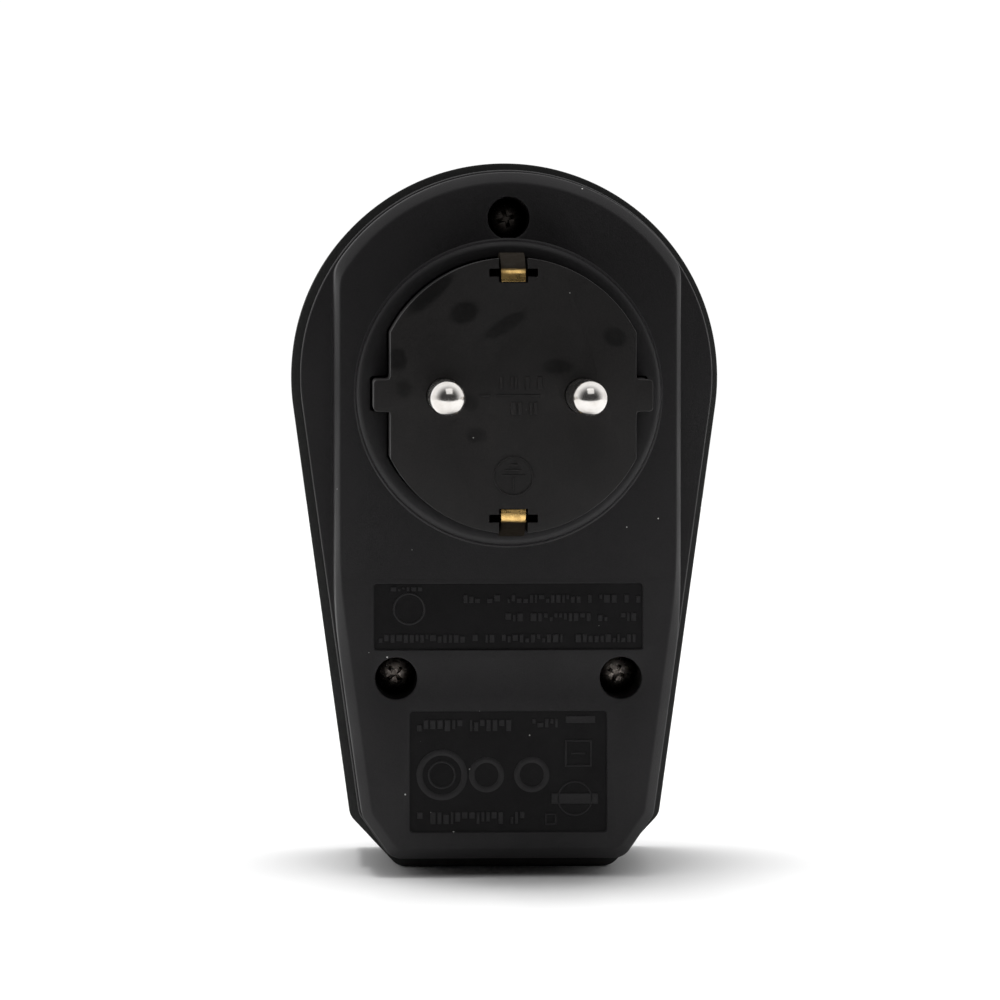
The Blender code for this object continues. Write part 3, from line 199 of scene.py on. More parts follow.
def mouldedPlastic(name, look):
    paint = Paint(name)
    grain = paint.noise(look["grain"], 3.0, 0.6)
    pits = paint.noise(look["grain"] * 2.6, 2.0)
    cloud = paint.noise(look.get("cloud", 14.0), 3.0, 0.6)
    tone = paint.ramp(cloud, ((0.3, 0.0), (0.7, 1.0)))
    colour = paint.mix(tone, look["dark"], look["light"])
    speckle = paint.ramp(grain, ((0.35, 0.0), (0.75, 1.0)))
    colour = paint.mix(speckle * 0.35, colour, look["speck"])
    smooth, coarse = look["rough"]
    rough = paint.ramp(paint.noise(look.get("cloud", 14.0) * 0.6, 4.0), ((0.3, smooth), (0.7, coarse)))
    for x, z, across, up, turn, depth in look.get("smudges", ()):
        # a greasy finger mark with a frayed outline: darker and smoother
        wiped = paint.blot((x, z), (across, up), turn)
        colour = paint.mix(wiped * depth, colour, look["greasy"])
        rough = rough - wiped * (depth * 0.22)
    dust = look.get("dust", 0.0)
    if dust:
        flecks = dustMask(paint, 3.6, dust)
        colour = paint.mix(flecks, colour, (0.62, 0.62, 0.6))
    height = grain * 0.7 + pits * 0.3
    normal = paint.bump(height, look["relief"], 0.7)
    sheen = look.get("sheen", 0.5)
    return paint.done(Base_Color=colour, Roughness=rough, Normal=normal, Specular_IOR_Level=sheen)


def workedMetal(name, look):
    paint = Paint(name)
    stretch = look.get("stretch", (1.0, 0.06, 1.0))
    lines = paint.noise(look["grain"], 2.0, 0.5, stretch)
    cloud = paint.noise(look.get("cloud", 3.0), 3.0, 0.6)
    tarnish = paint.ramp(cloud, ((0.42, 0.0), (0.72, 1.0)))
    colour = paint.mix(tarnish * look["tarnished"], look["clean"], look["stain"])
    smooth, coarse = look["rough"]
    rough = paint.ramp(lines, ((0.25, smooth), (0.75, coarse))) + tarnish * look["dulling"]
    if "shadeFrom" in look:
        # bright brass near the tip, where it is rubbed; further in, the colour turns to painted shade, a dark
        # brown non-metal, standing in for the shadow the strip lies in inside the notch
        start, end = look["shadeFrom"]
        spot = paint.axis("Z")
        away = paint.add("ShaderNodeMath", {"operation": "ABSOLUTE"}, {0: spot})
        paintedShade = paint.ramp(away * 25.0 + lines * 0.01, ((start * 0.025, 0.0), (end * 0.025, 1.0)))
        paintedShade = paintedShade * (paint.axis("Y") < look["shadeUntil"])
        colour = paint.mix(paintedShade, colour, look["paintedShade"])
        rough = rough + paintedShade * 0.4
        paint.done(Metallic=1.0 - paintedShade, Specular_IOR_Level=0.06)
    else:
        paint.done(Metallic=1.0)
    normal = paint.bump(lines, look["relief"], 0.5)
    return paint.done(Base_Color=colour, Roughness=rough, Normal=normal)


# mesh helpers, all in millimetres

def newPiece(name, mesh, material, body="housing", smooth=32.0):
    bm = bmesh.new()
    bm.from_mesh(mesh)
    bmesh.ops.recalc_face_normals(bm, faces=bm.faces)
    bm.to_mesh(mesh)
    bm.free()
    mesh.shade_smooth()
    mesh.set_sharp_from_angle(angle=math.radians(smooth))
    mesh.materials.clear()
    mesh.materials.append(material)
    piece = bpy.data.objects.new(name, mesh)
    bpy.context.scene.collection.objects.link(piece)
    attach(piece, body)
    return piece


# a skin through rings of equal count; each ring is (y, [(x, z), ...])
def loftMesh(name, rings, closed=False, bm=None):
    own = bm is None
    bm = bm or bmesh.new()
    loops = [[bm.verts.new((x * mm, y * mm, z * mm)) for x, z in ring] for y, ring in rings]
    pairs = list(zip(loops, loops[1:]))
    if closed:
        pairs.append((loops[-1], loops[0]))
    for low, high in pairs:
        for i, vert in enumerate(low):
            j = (i + 1) % len(low)
            bm.faces.new((vert, low[j], high[j], high[i]))
    if not closed:
        bm.faces.new(loops[0])
        bm.faces.new(loops[-1])
    if not own:
        return None
    bmesh.ops.remove_doubles(bm, verts=bm.verts, dist=0.0004 * mm)
    bmesh.ops.recalc_face_normals(bm, faces=bm.faces)
    mesh = bpy.data.meshes.new(name)
    bm.to_mesh(mesh)
    bm.free()
    return mesh


def circle(radius, count=72, x=0.0, z=0.0):
    steps = [2 * math.pi * i / count for i in range(count)]
    return [(x + radius * math.cos(a), z + radius * math.sin(a)) for a in steps]


# profile is [(radius, y), ...]; a closed one makes a ring or a tube
def turnedMesh(name, profile, x=0.0, z=0.0, count=72, closed=False, bm=None):
    rings = [(y, circle(max(radius, 0.01), count, x, z)) for radius, y in profile]
    return loftMesh(name, rings, closed, bm)


def roundedBox(bm, low, high, edge=0.0, segments=2):
    size = [(b - a) * mm for a, b in zip(low, high)]
    centre = [(a + b) / 2 * mm for a, b in zip(low, high)]
    made = bmesh.ops.create_cube(bm, size=1.0)
    bmesh.ops.scale(bm, vec=size, verts=made["verts"])
    bmesh.ops.translate(bm, vec=centre, verts=made["verts"])
    if edge:
        edges = list({e for v in made["verts"] for e in v.link_edges})
        bmesh.ops.bevel(bm, geom=edges, offset=edge * mm, segments=segments, profile=0.5, affect="EDGES")


def meshOf(bm, name):
    mesh = bpy.data.meshes.new(name)
    bm.to_mesh(mesh)
    bm.free()
    return mesh


# cut each cutter mesh out of the mesh in turn and give back the result
def carve(mesh, cutters):
    scene = bpy.context.scene.collection
    body = bpy.data.objects.new("carving", mesh)
    scene.objects.link(body)
    tools = []
    for cutter in cutters:
        tool = bpy.data.objects.new("cutter", cutter)
        scene.objects.link(tool)
        tools.append(tool)
        boolean = body.modifiers.new("cut", "BOOLEAN")
        boolean.operation = "DIFFERENCE"
        boolean.solver = "EXACT"
        boolean.object = tool
    done = bpy.data.meshes.new_from_object(body.evaluated_get(bpy.context.evaluated_depsgraph_get()))
    for thing in tools + [body]:
        bpy.data.objects.remove(thing)
    return done


def bevelled(mesh, width, segments=2, angle=35.0):
    body = bpy.data.objects.new("softening", mesh)
    bpy.context.scene.collection.objects.link(body)
    bevel = body.modifiers.new("edge", "BEVEL")
    bevel.width = width * mm
    bevel.segments = segments
    bevel.limit_method = "ANGLE"
    bevel.angle_limit = math.radians(angle)
    done = bpy.data.meshes.new_from_object(body.evaluated_get(bpy.context.evaluated_depsgraph_get()))
    bpy.data.objects.remove(body)
    return done


# a bore along Y whose mouth at faceY is rolled over by lip
def boreMesh(radius, faceY, endY, lip, x=0.0, z=0.0, count=48):
    way = 1.0 if endY > faceY else -1.0
    profile = [(radius + lip, faceY - way * 1.2)]
    for step in range(5):
        angle = math.radians(90.0 * step / 4)
        profile.append((radius + lip * (1 - math.sin(angle)), faceY + way * lip * (1 - math.cos(angle))))
    profile.append((radius, endY))
    return turnedMesh("bore", profile, x, z, count)


# plan of the two shells seen along Y

def arcPoints(cx, cz, radius, start, end, steps):
    angles = [math.radians(start + (end - start) * i / steps) for i in range(steps + 1)]
    return [(cx + radius * math.cos(a), cz + radius * math.sin(a)) for a in angles]


def between(a, b, steps):
    return [(a[0] + (b[0] - a[0]) * i / steps, a[1] + (b[1] - a[1]) * i / steps) for i in range(1, steps)]


def crossing(lineA, lineB):
    ax, az, a = lineA
    bx, bz, b = lineB
    det = ax * bz - az * bx
    return ((a * bz - b * az) / det, (ax * b - bx * a) / det)


def corner(before, middle, after, radius, steps):
    middle = Vector(middle)
    inward = (Vector(before) - middle).normalized()
    outward = (Vector(after) - middle).normalized()
    half = inward.angle(outward) / 2
    centre = middle + (inward + outward).normalized() * (radius / math.sin(half))
    first = middle + inward * (radius / math.tan(half)) - centre
    last = middle + outward * (radius / math.tan(half)) - centre
    start = math.degrees(math.atan2(first.y, first.x))
    sweep = math.degrees(math.atan2(first.x * last.y - first.y * last.x, first.dot(last)))
    return arcPoints(centre.x, centre.y, radius, start, start + sweep, steps)


# outline moved inwards by inset; width cuts |x| off softly for the raised back
def shellPlan(plan, inset=0.0, width=None, soft=0.3):
    turn = math.radians(plan["taper"])
    nx, nz = math.cos(turn), -math.sin(turn)
    reach = plan["head"] + nz * plan["headZ"]
    foot = plan["foot"]
    acrossCut, upCut = plan["clip"]
    clipTop = ((reach - nz * (foot + upCut)) / nx, foot + upCut)
    clipFoot = (clipTop[0] - acrossCut, foot)
    run = Vector(clipFoot) - Vector(clipTop)
    normal = Vector((-run.y, run.x)).normalized()
    side = (nx, nz, reach - inset)
    clip = (normal.x, normal.y, normal.dot(Vector(clipTop)) - inset)
    base = (0.0, -1.0, -foot - inset)
    cornerA = crossing(side, clip)
    cornerB = crossing(clip, base)
    right = arcPoints(0.0, plan["headZ"], plan["head"] - inset, 90.0, -plan["taper"], 76)
    roundA = corner(right[-1], cornerA, cornerB, plan["corner"], 7)
    roundB = corner(cornerA, cornerB, (0.0, cornerB[1]), plan["corner"], 7)
    right += between(right[-1], roundA[0], 50) + roundA
    right += between(roundA[-1], roundB[0], 5) + roundB
    right += between(roundB[-1], (0.0, cornerB[1]), 9) + [(0.0, cornerB[1])]
    if width:
        right = [(softMin(x, width, soft), z) for x, z in right]
    left = [(-x, z) for x, z in reversed(right[1:-1])]
    return right + left


def softMin(value, limit, soft):
    gap = (limit - value) / soft
    if gap > 30.0 or value < 1.0:
        return value
    if gap < -30.0:
        return limit
    return limit - soft * math.log1p(math.exp(gap))


frontPlan = {"head": 30.6, "headZ": 2.0, "taper": 7.8, "foot": -68.4, "clip": (6.9, 7.4), "corner": 2.5}
rearPlan = {"head": 29.3, "headZ": 2.2, "taper": 7.8, "foot": -66.3, "clip": (4.4, 6.3), "corner": 2.5}
screwSpots = {"top": (0.0, 24.6), "left": (-15.85, -40.2), "right": (15.85, -40.2)}


# camera, light and floor
studio = {
    "cameraAt": (-29.5, -700.0, 15.4),
    "cameraYaw": -2.26,
    "cameraPitch": 2.43,
    "lens": 183.6,
    "floorTone": 0.9,
    "floorSpan": ((-0.9, 0.9), (-0.24, 1.3)),
    "sunPower": 2.0,
    "sunWidth": 26.0,
    "sunTurn": (1.0, -4.0),
    "boxAt": (0.06, -0.42, 0.5),
    "boxSize": 0.45,
    "boxPower": 0.6,
    "behind": 1.05,
    "front": 0.05,
    "turnsPale": (-0.75, 0.3),
}


def buildStudio(s):
    scene = bpy.context.scene
    camera = bpy.data.objects.new("camera", bpy.data.cameras.new("camera"))
    scene.collection.objects.link(camera)
    camera.data.lens = s["lens"]
    camera.data.clip_end = 40.0
    camera.location = [value * mm for value in s["cameraAt"]]
    camera.rotation_euler = (math.radians(90.0 - s["cameraPitch"]), 0.0, math.radians(s["cameraYaw"]))
    scene.camera = camera
    scene.view_settings.view_transform = "Standard"

    # the table ends a short way in front of the object, as the dark side of a light tent does
    low = cadBox[0][2] - 0.0001
    (left, right), (near, far) = s["floorSpan"]
    bm = bmesh.new()
    corners = ((left, near), (right, near), (right, far), (left, far))
    bm.faces.new([bm.verts.new((x, y, low)) for x, y in corners])
    floor = bpy.data.objects.new("floor", meshOf(bm, "floor"))
    scene.collection.objects.link(floor)
    tone = (s["floorTone"],) * 3
    floor.data.materials.append(
        Paint("paleFloor").done(Base_Color=tone, Roughness=0.9, Specular_IOR_Level=0.1)
    )

    sun = bpy.data.objects.new("sun", bpy.data.lights.new("sun", "SUN"))
    scene.collection.objects.link(sun)
    sun.data.energy = s["sunPower"]
    sun.data.angle = math.radians(s["sunWidth"])
    sun.rotation_euler = (math.radians(s["sunTurn"][0]), math.radians(s["sunTurn"][1]), 0.0)
    sun.visible_glossy = False

    # one soft box above and in front of the plug side
    lamp = bpy.data.objects.new("softBox", bpy.data.lights.new("softBox", "AREA"))
    scene.collection.objects.link(lamp)
    lamp.data.size = s["boxSize"]
    lamp.data.energy = s["boxPower"]
    lamp.location = s["boxAt"]
    lamp.rotation_euler = (-Vector(s["boxAt"])).to_track_quat("-Z", "Y").to_euler()

    # white behind everything; as a light it is darkest on the side the pins point to
    world = bpy.data.worlds.new("studio")
    scene.world = world
    sky = Graph(world, "Background")
    spot = sky.add("ShaderNodeTexCoord")
    depth = sky.add("ShaderNodeSeparateXYZ", None, {0: spot}, 1)
    level = sky.add("ShaderNodeMapRange", {"interpolation_type": "SMOOTHSTEP"}, {
        "Value": depth, "From Min": s["turnsPale"][0], "From Max": s["turnsPale"][1],
        "To Min": s["front"], "To Max": s["behind"],
    })
    seen = sky.add("ShaderNodeLightPath")
    shown = sky.add("ShaderNodeMix", None, {0: seen, 2: level, 3: s["behind"]})
    sky.done(Strength=shown, Color=(1.0, 1.0, 1.0))


buildStudio(studio)
print("studio ready")


# finishes of the outside
finishes = {
    "collar": mouldedPlastic("collarPlastic", {
        "dark": (0.0056, 0.0050, 0.0056), "light": (0.0082, 0.0074, 0.0082), "speck": (0.017, 0.015, 0.017),
        "rough": (0.44, 0.54), "grain": 0.24, "relief": 0.03, "sheen": 0.42, "cloud": 9.0,
    }),
    "panel": mouldedPlastic("panelPlastic", {
        "dark": (0.0030, 0.0027, 0.0030), "light": (0.0044, 0.0040, 0.0044), "speck": (0.010, 0.009, 0.010),
        "rough": (0.6, 0.7), "grain": 0.2, "relief": 0.03, "sheen": 0.2, "dust": 0.085, "cloud": 7.0,
    }),
    "shell": mouldedPlastic("shellPlastic", {
        "dark": (0.0052, 0.0046, 0.0052), "light": (0.0074, 0.0066, 0.0074), "speck": (0.017, 0.015, 0.017),
        "rough": (0.52, 0.62), "grain": 0.24, "relief": 0.045, "sheen": 0.36, "dust": 0.085, "cloud": 16.0,
    }),
    "rim": mouldedPlastic("rimPlastic", {
        "dark": (0.0062, 0.0062, 0.0060), "light": (0.0092, 0.0094, 0.0088), "speck": (0.020, 0.020, 0.019),
        "rough": (0.58, 0.68), "grain": 0.4, "relief": 0.05, "sheen": 0.45, "dust": 0.06, "cloud": 9.0,
    }),
    "boss": mouldedPlastic("plugPlastic", {
        "dark": (0.0058, 0.0051, 0.0052), "light": (0.0088, 0.0078, 0.0077), "speck": (0.020, 0.0175, 0.017),
        "greasy": (0.0022, 0.0020, 0.0020),
        "smudges": (
            (-11.4, 14.2, 5.6, 1.7, -43.0, 0.8), (-6.8, 11.4, 2.7, 2.1, -20.0, 0.8),
            (-1.2, 9.7, 4.8, 1.3, -31.0, 0.7), (-16.0, 5.0, 1.8, 2.2, 0.0, 0.7),
            (-15.0, 1.0, 1.6, 1.8, 0.0, 0.6), (14.0, 8.0, 2.2, 1.7, 20.0, 0.7),
            (6.0, 4.0, 3.0, 1.4, 0.0, 0.6), (-6.0, -1.0, 1.8, 1.4, 30.0, 0.6),
            (-5.0, -5.5, 2.0, 1.4, 0.0, 0.5),
        ),
        "rough": (0.5, 0.62), "grain": 0.3, "relief": 0.03, "sheen": 0.36, "dust": 0.08, "cloud": 8.0,
    }),
    "cup": mouldedPlastic("cupPlastic", {
        "dark": (0.010, 0.010, 0.0105), "light": (0.015, 0.015, 0.0155), "speck": (0.024, 0.024, 0.025),
        "rough": (0.34, 0.5), "grain": 0.25, "relief": 0.012, "dust": 0.07,
    }),
    "button": mouldedPlastic("buttonPlastic", {
        "dark": (0.016, 0.016, 0.017), "light": (0.021, 0.021, 0.022), "speck": (0.03, 0.03, 0.031),
        "rough": (0.26, 0.4), "grain": 0.3, "relief": 0.008, "greasy": (0.012, 0.012, 0.012),
        "smudges": ((1.6, -38.0, 3.4, 2.2, 40.0, 0.6),),
    }),
    "nickel": workedMetal("pinNickel", {
        "clean": (0.80, 0.775, 0.745), "stain": (0.52, 0.47, 0.41), "tarnished": 0.35, "dulling": 0.06,
        "rough": (0.13, 0.2), "grain": 0.35, "relief": 0.006, "cloud": 1.6,
    }),
    "brass": workedMetal("strapBrass", {
        "clean": (0.86, 0.57, 0.21), "stain": (0.30, 0.17, 0.06), "tarnished": 0.6, "dulling": 0.14,
        "rough": (0.2, 0.34), "grain": 0.3, "relief": 0.01, "cloud": 1.3, "stretch": (0.12, 1.0, 1.0),
    }),
    "blackSteel": workedMetal("screwSteel", {
        "clean": (0.46, 0.41, 0.37), "stain": (0.12, 0.09, 0.075), "tarnished": 0.8, "dulling": 0.12,
        "rough": (0.22, 0.38), "grain": 0.3, "relief": 0.02, "cloud": 0.9, "stretch": (1.0, 1.0, 1.0),
    }),
}
print("outside finishes ready")


rear = {
    "joint": 30.7, "back": 17.0, "wings": 23.5, "edge": 0.28,
    "topWidth": 23.8, "footWidth": 24.65, "coveWidth": 24.95,
    "boreRadius": 2.95, "boreEnd": 24.0, "tubeRadius": 4.15, "tube": (17.6, 30.7), "seat": 29.0,
    "throughHole": 1.8, "mouth": 0.22, "panelMouth": (15.0, 17.02, 17.14), "panelBevel": 0.12,
    "plugGap": 0.3, "plugCut": (10.0, 22.0),
}
upperPanel = {"low": (-18.95, -36.15), "high": (18.95, -26.85), "floor": 17.35, "corner": 0.4}
lowerPanel = {"low": (-13.9, -62.0), "high": (13.9, -44.9), "floor": 17.35, "corner": 0.5}
collar = {
    "outer": 21.5, "hole": 12.0, "top": 15.5, "foot": 17.5, "round": 1.0, "edge": 0.18,
    "cove": ((0.35, 17.5), (0.28, 17.0), (0.06, 16.86), (0.0, 16.6)),
}
plugShape = {"radius": 19.0, "flatX": 16.9, "ribX": 19.2, "ribZ": 2.175, "nose": 0.5}


def rearRings(r):
    joint, back, wings, edge = r["joint"], r["back"], r["wings"], r["edge"]
    full = lambda inset: shellPlan(rearPlan, inset)
    raised = lambda width, inset: shellPlan(rearPlan, inset, width)
    return [
        (back + 2.0, raised(21.6, 4.0)),
        (wings + 1.6, raised(22.6, 2.6)),
        (wings + 2.0, raised(22.9, 2.2)),
        (wings + 2.0, full(2.0)),
        (joint, full(2.0)),
        (joint, full(edge)),
        (joint - edge * 0.3, full(edge * 0.3)),
        (joint - edge, full(0.0)),
        (wings + 0.4, full(0.0)),
        (wings + 0.2, full(0.05)),
        (wings + 0.05, full(0.17)),
        (wings, full(0.32)),
        (wings, raised(r["coveWidth"], 0.32)),
        (wings - 0.06, raised(r["coveWidth"] - 0.18, 0.34)),
        (wings - 0.25, raised(r["footWidth"], 0.36)),
        (back + 1.85, raised(r["topWidth"] + 0.62, 0.42)),
        (back + 1.6, raised(r["topWidth"] + 0.56, 0.48)),
        (back + 1.4, raised(r["topWidth"] + 0.48, 0.62)),
        (back + 0.2, raised(r["topWidth"] + 0.02, 1.72)),
        (back + 0.06, raised(r["topWidth"] - 0.12, 1.9)),
        (back, raised(r["topWidth"] - 0.3, 2.1)),
    ]


def plugPlan(grow=0.0, steps=22):
    radius, flatX, ribX, ribZ = (plugShape[key] + grow for key in ("radius", "flatX", "ribX", "ribZ"))
    nose = plugShape["nose"]
    turn = math.degrees(math.acos(flatX / radius))
    upper = arcPoints(0.0, 0.0, radius, 90.0, turn, steps)
    upper += [(flatX, ribZ + 0.5), (flatX + 0.12, ribZ + 0.12), (flatX + 0.5, ribZ)]
    upper += arcPoints(ribX - nose, ribZ - nose, nose, 90.0, 0.0, 4)
    lower = [(x, -z) for x, z in reversed(upper)]
    right = upper + lower
    left = [(-x, z) for x, z in reversed(right[1:-1])]
    return right + left


# the plug body with its gap all round, to be cut out of the shell and the collar
def plugBlock(r):
    plan = plugPlan(r["plugGap"])
    return loftMesh("plugBlock", [(y, plan) for y in r["plugCut"]])


def panelCutter(p):
    bm = bmesh.new()
    (lowX, lowZ), (highX, highZ), c = p["low"], p["high"], p["corner"]
    spots = []
    inLowX, inHighX, inLowZ, inHighZ = lowX + c, highX - c, lowZ + c, highZ - c
    turns = ((inHighX, inHighZ, 90), (inHighX, inLowZ, 0), (inLowX, inLowZ, -90), (inLowX, inHighZ, -180))
    for cx, cz, start in turns:
        spots += arcPoints(cx, cz, c, start, start - 90.0, 4)
    bevel, middle = rear["panelBevel"], (lowZ + highZ) / 2
    wide = [(x + math.copysign(bevel, x), z + (bevel if z > middle else -bevel)) for x, z in spots]
    above, mouth, within = rear["panelMouth"]
    loftMesh("panel", [(above, wide), (mouth, wide), (within, spots), (p["floor"], spots)], bm=bm)
    bmesh.ops.recalc_face_normals(bm, faces=bm.faces)
    return meshOf(bm, "panel")


def buildRearShell():
    mesh = loftMesh("rearShell", rearRings(rear))
    bore, tube, seat, hole = rear["boreRadius"], rear["tubeRadius"], rear["seat"], rear["throughHole"]
    cutters = []
    for x, z in screwSpots.values():
        cutters.append(boreMesh(bore, rear["back"], rear["boreEnd"], rear["mouth"], x, z))
    cutters.append(plugBlock(rear))
    cutters += [panelCutter(upperPanel), panelCutter(lowerPanel)]
    mesh = carve(mesh, cutters)
    shell = newPiece("rearShell", mesh, finishes["shell"], smooth=28.0)
    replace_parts(shell, "rear_shell")

    # the floors of the two sunk panels have a finer, duller grain than the shell
    bm = bmesh.new()
    for p in (upperPanel, lowerPanel):
        (lowX, lowZ), (highX, highZ) = p["low"], p["high"]
        low = (lowX + 0.02, p["floor"] - 0.01, lowZ + 0.02)
        roundedBox(bm, low, (highX - 0.02, p["floor"] + 0.4, highZ - 0.02))
    floors = newPiece("panelFloors", meshOf(bm, "panelFloors"), finishes["panel"])
    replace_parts(floors, "rear_shell")

    bm = bmesh.new()
    start, end = rear["tube"]
    for x, z in screwSpots.values():
        profile = [(hole, seat), (bore - 0.3, seat), (bore, seat - 0.3), (bore, start)]
        profile += [(tube, start), (tube, end), (hole, end)]
        turnedMesh("well", profile, x, z, 48, True, bm)
    wells = newPiece("screwWells", meshOf(bm, "screwWells"), finishes["shell"])
    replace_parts(wells, "rear_shell")

    outer, top, foot, r = collar["outer"], collar["top"], collar["foot"], collar["round"]
    profile = [(collar["hole"], foot)] + [(outer + wider, y) for wider, y in collar["cove"]]
    for step in range(7):
        angle = math.radians(90.0 * step / 6)
        profile.append((outer - r + r * math.cos(angle), top + r - r * math.sin(angle)))
    profile.append((collar["hole"], top))
    ring = turnedMesh("collar", profile, count=160, closed=True)
    ring = bevelled(carve(ring, [plugBlock(rear)]), collar["edge"], 2, 50.0)
    ring = newPiece("collar", ring, finishes["collar"])
    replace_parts(ring, "rear_shell")


buildRearShell()
print("rear shell ready")


front = {
    "joint": 31.0, "front": 58.0, "round": 2.6, "edge": 0.22, "wall": 2.3, "inside": 56.0,
    "cupHole": 21.2, "buttonHole": 6.3, "buttonZ": -36.5, "lightHole": 1.8, "lightZ": -49.5, "holeEnd": 50.0,
    "post": 3.4, "postHole": 1.8, "postEnd": 56.5, "holeDepth": 47.0,
    "boardPosts": ((-19.0, -27.0), (19.0, -27.0)), "boardPost": 2.2, "boardHole": 1.2, "boardBack": 39.6,
}


def buildFrontShell(f):
    joint, face, r = f["joint"], f["front"], f["round"]
    plan = lambda inset: shellPlan(frontPlan, inset)
    rings = [(f["inside"], plan(f["wall"])), (joint, plan(f["wall"])), (joint, plan(f["edge"]))]
    rings += [(joint + f["edge"] * 0.3, plan(f["edge"] * 0.3)), (joint + f["edge"], plan(0.0))]
    for step in range(9):
        angle = math.radians(90.0 * step / 8)
        rings.append((face - r + r * math.sin(angle), plan(r - r * math.cos(angle))))
    mesh = loftMesh("frontShell", rings)
    cutters = [
        boreMesh(f["cupHole"], face, f["holeEnd"], 0.3, count=144),
        boreMesh(f["buttonHole"], face, f["holeEnd"], 0.35, 0.0, f["buttonZ"]),
        boreMesh(f["lightHole"], face, f["holeEnd"], 0.2, 0.0, f["lightZ"], 32),
    ]
    shell = newPiece("frontShell", carve(mesh, cutters), finishes["rim"], smooth=28.0)
    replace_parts(shell, "front_shell")

    bm = bmesh.new()
    posts = [(x, z, f["post"], f["postHole"], joint) for x, z in screwSpots.values()]
    posts += [(x, z, f["boardPost"], f["boardHole"], f["boardBack"]) for x, z in f["boardPosts"]]
    end, depth = f["postEnd"], f["holeDepth"]
    for x, z, outer, inner, start in posts:
        profile = [(inner, start), (outer, start), (outer, end), (0.5, end), (0.5, depth), (inner, depth)]
        turnedMesh("post", profile, x, z, 32, True, bm)
    posts = newPiece("screwPosts", meshOf(bm, "screwPosts"), finishes["rim"])
    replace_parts(posts, "front_shell")


buildFrontShell(front)
print("front shell ready")


# plug body, its marks, pins and straps
plug = {
    "face": 0.0, "edge": 0.12, "inside": 3.0, "cavity": 14.4, "foot": 20.3, "flange": (19.3, 21.6, 20.0),
    "pinX": 9.5, "pinHole": 2.46, "pinLip": 0.1, "pinHoleEnd": 8.0, "pillar": (4.4, 2.8, 13.7), "past": 24.0,
    "notchHalf": 2.0, "notchFrom": 15.55, "slotHalf": 3.35, "slotZ": (16.35, 17.45), "slotDepth": 6.0,
}


def slotCutters(p, side):
    cutters = []
    for half, inner, outer, end in (
        (p["notchHalf"], p["notchFrom"], p["past"], p["past"]),
        (p["slotHalf"], *p["slotZ"], p["slotDepth"]),
    ):
        bm = bmesh.new()
        low, high = sorted((side * inner, side * outer))
        roundedBox(bm, (-half, -3.0, low), (half, end, high))
        cutters.append(meshOf(bm, "slot"))
    return cutters


def buildPlugBody(p):
    face, e = p["face"], p["edge"]
    rings = [(p["foot"], plugPlan())]
    for step in range(5):
        angle = math.radians(90.0 * step / 4)
        rings.append((face + e - e * math.sin(angle), plugPlan(-e + e * math.cos(angle))))
    mesh = loftMesh("plugBody", rings)
    cutters = [turnedMesh("cavity", [(p["cavity"], p["inside"]), (p["cavity"], p["past"])])]
    for side in (-1, 1):
        cutters.append(boreMesh(p["pinHole"], face, p["pinHoleEnd"], p["pinLip"], side * p["pinX"]))
        cutters += slotCutters(p, side)
    mesh = carve(mesh, cutters)
    bm = bmesh.new()
    bm.from_mesh(mesh)
    start, end, radius = p["flange"]
    profile = [(p["cavity"], start), (radius, start), (radius, end), (p["cavity"], end)]
    turnedMesh("flange", profile, 0.0, 0.0, 96, True, bm)
    radius, start, end = p["pillar"]
    profile = [(p["pinHole"], start), (radius, start), (radius, end), (p["pinHole"], end)]
    for side in (-1, 1):
        turnedMesh("pillar", profile, side * p["pinX"], 0.0, 40, True, bm)
    body = newPiece("plugBody", meshOf(bm, "plugBody"), finishes["boss"], smooth=28.0)
    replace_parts(body, "plug_boss")


buildPlugBody(plug)

# each mark is its kind, then x, z, width and height for a bar; x, z, radius and line for a ring;
# x, z, half width and line for a square; and first x, last x, z and height for a row of bars
plugMarks = {
    "name": "plugMarks", "seed": 3, "y": 0.0, "height": 0.2, "finish": "boss", "slot": "boss_black",
    "table": (
        # the usual sign for the earth contact inside its ring
        ("ring", 0.0, -11.05, 2.75, 0.2), ("bar", 0.0, -11.05 + 0.1, 3.3, 0.16),
        ("bar", 0.0, -11.05 - 1.15, 0.16, 2.1), ("bar", 0.0, -11.05 + 0.85, 2.2, 0.16),
        ("bar", 0.0, -11.05 + 1.6, 1.2, 0.16),
        ("bar", 0.6, 0.05, 6.2, 0.16), ("bar", -3.9, 0.0, 1.5, 0.16),
        ("row", -1.9, 3.3, 1.75, 1.7), ("row", -0.4, 3.0, -1.75, 1.7),
    ),
}
panelMarks = {
    "name": "panelMarks", "seed": 11, "y": 17.35, "height": 0.16, "finish": "shell", "slot": "shell_black",
    "table": (
        # rows of short bars and a plain ring on the upper panel
        ("row", -6.3, 18.2, -29.0, 1.15), ("row", -1.2, 18.2, -31.6, 1.15), ("row", -18.3, 18.2, -34.6, 1.15),
        ("ring", -14.0, -30.4, 2.3, 0.3), ("row", -16.6, -12.4, -27.6, 0.6),
        # bars, plain rings and squares on the lower panel
        ("row", -12.9, 1.4, -46.9, 1.6), ("row", 2.6, 7.0, -46.6, 1.2), ("bar", 10.2, -46.1, 4.2, 1.0),
        ("ring", -9.4, -53.9, 3.6, 0.85), ("ring", -9.4, -53.9, 2.0, 0.3),
        ("ring", -3.1, -53.9, 2.5, 0.8), ("ring", 3.3, -53.9, 2.5, 0.8),
        ("square", 9.9, -50.9, 1.9, 0.25), ("bar", 9.9, -50.9, 2.0, 0.25),
        ("ring", 9.4, -57.3, 2.5, 0.25), ("bar", 9.4, -57.3, 6.6, 1.5),
        ("row", -12.9, 2.4, -60.0, 1.7), ("witness", 0.0, -26.25, 47.0, 0.09),
        ("square", 6.0, -60.2, 0.8, 0.22),
    ),
}
# the faint line that the mould leaves across the back
witness = {"y": 17.0, "height": 0.02}
barRules = {"edge": 0.05, "widths": (0.28, 0.85), "skipped": 0.16, "space": 0.8, "gap": 0.26}


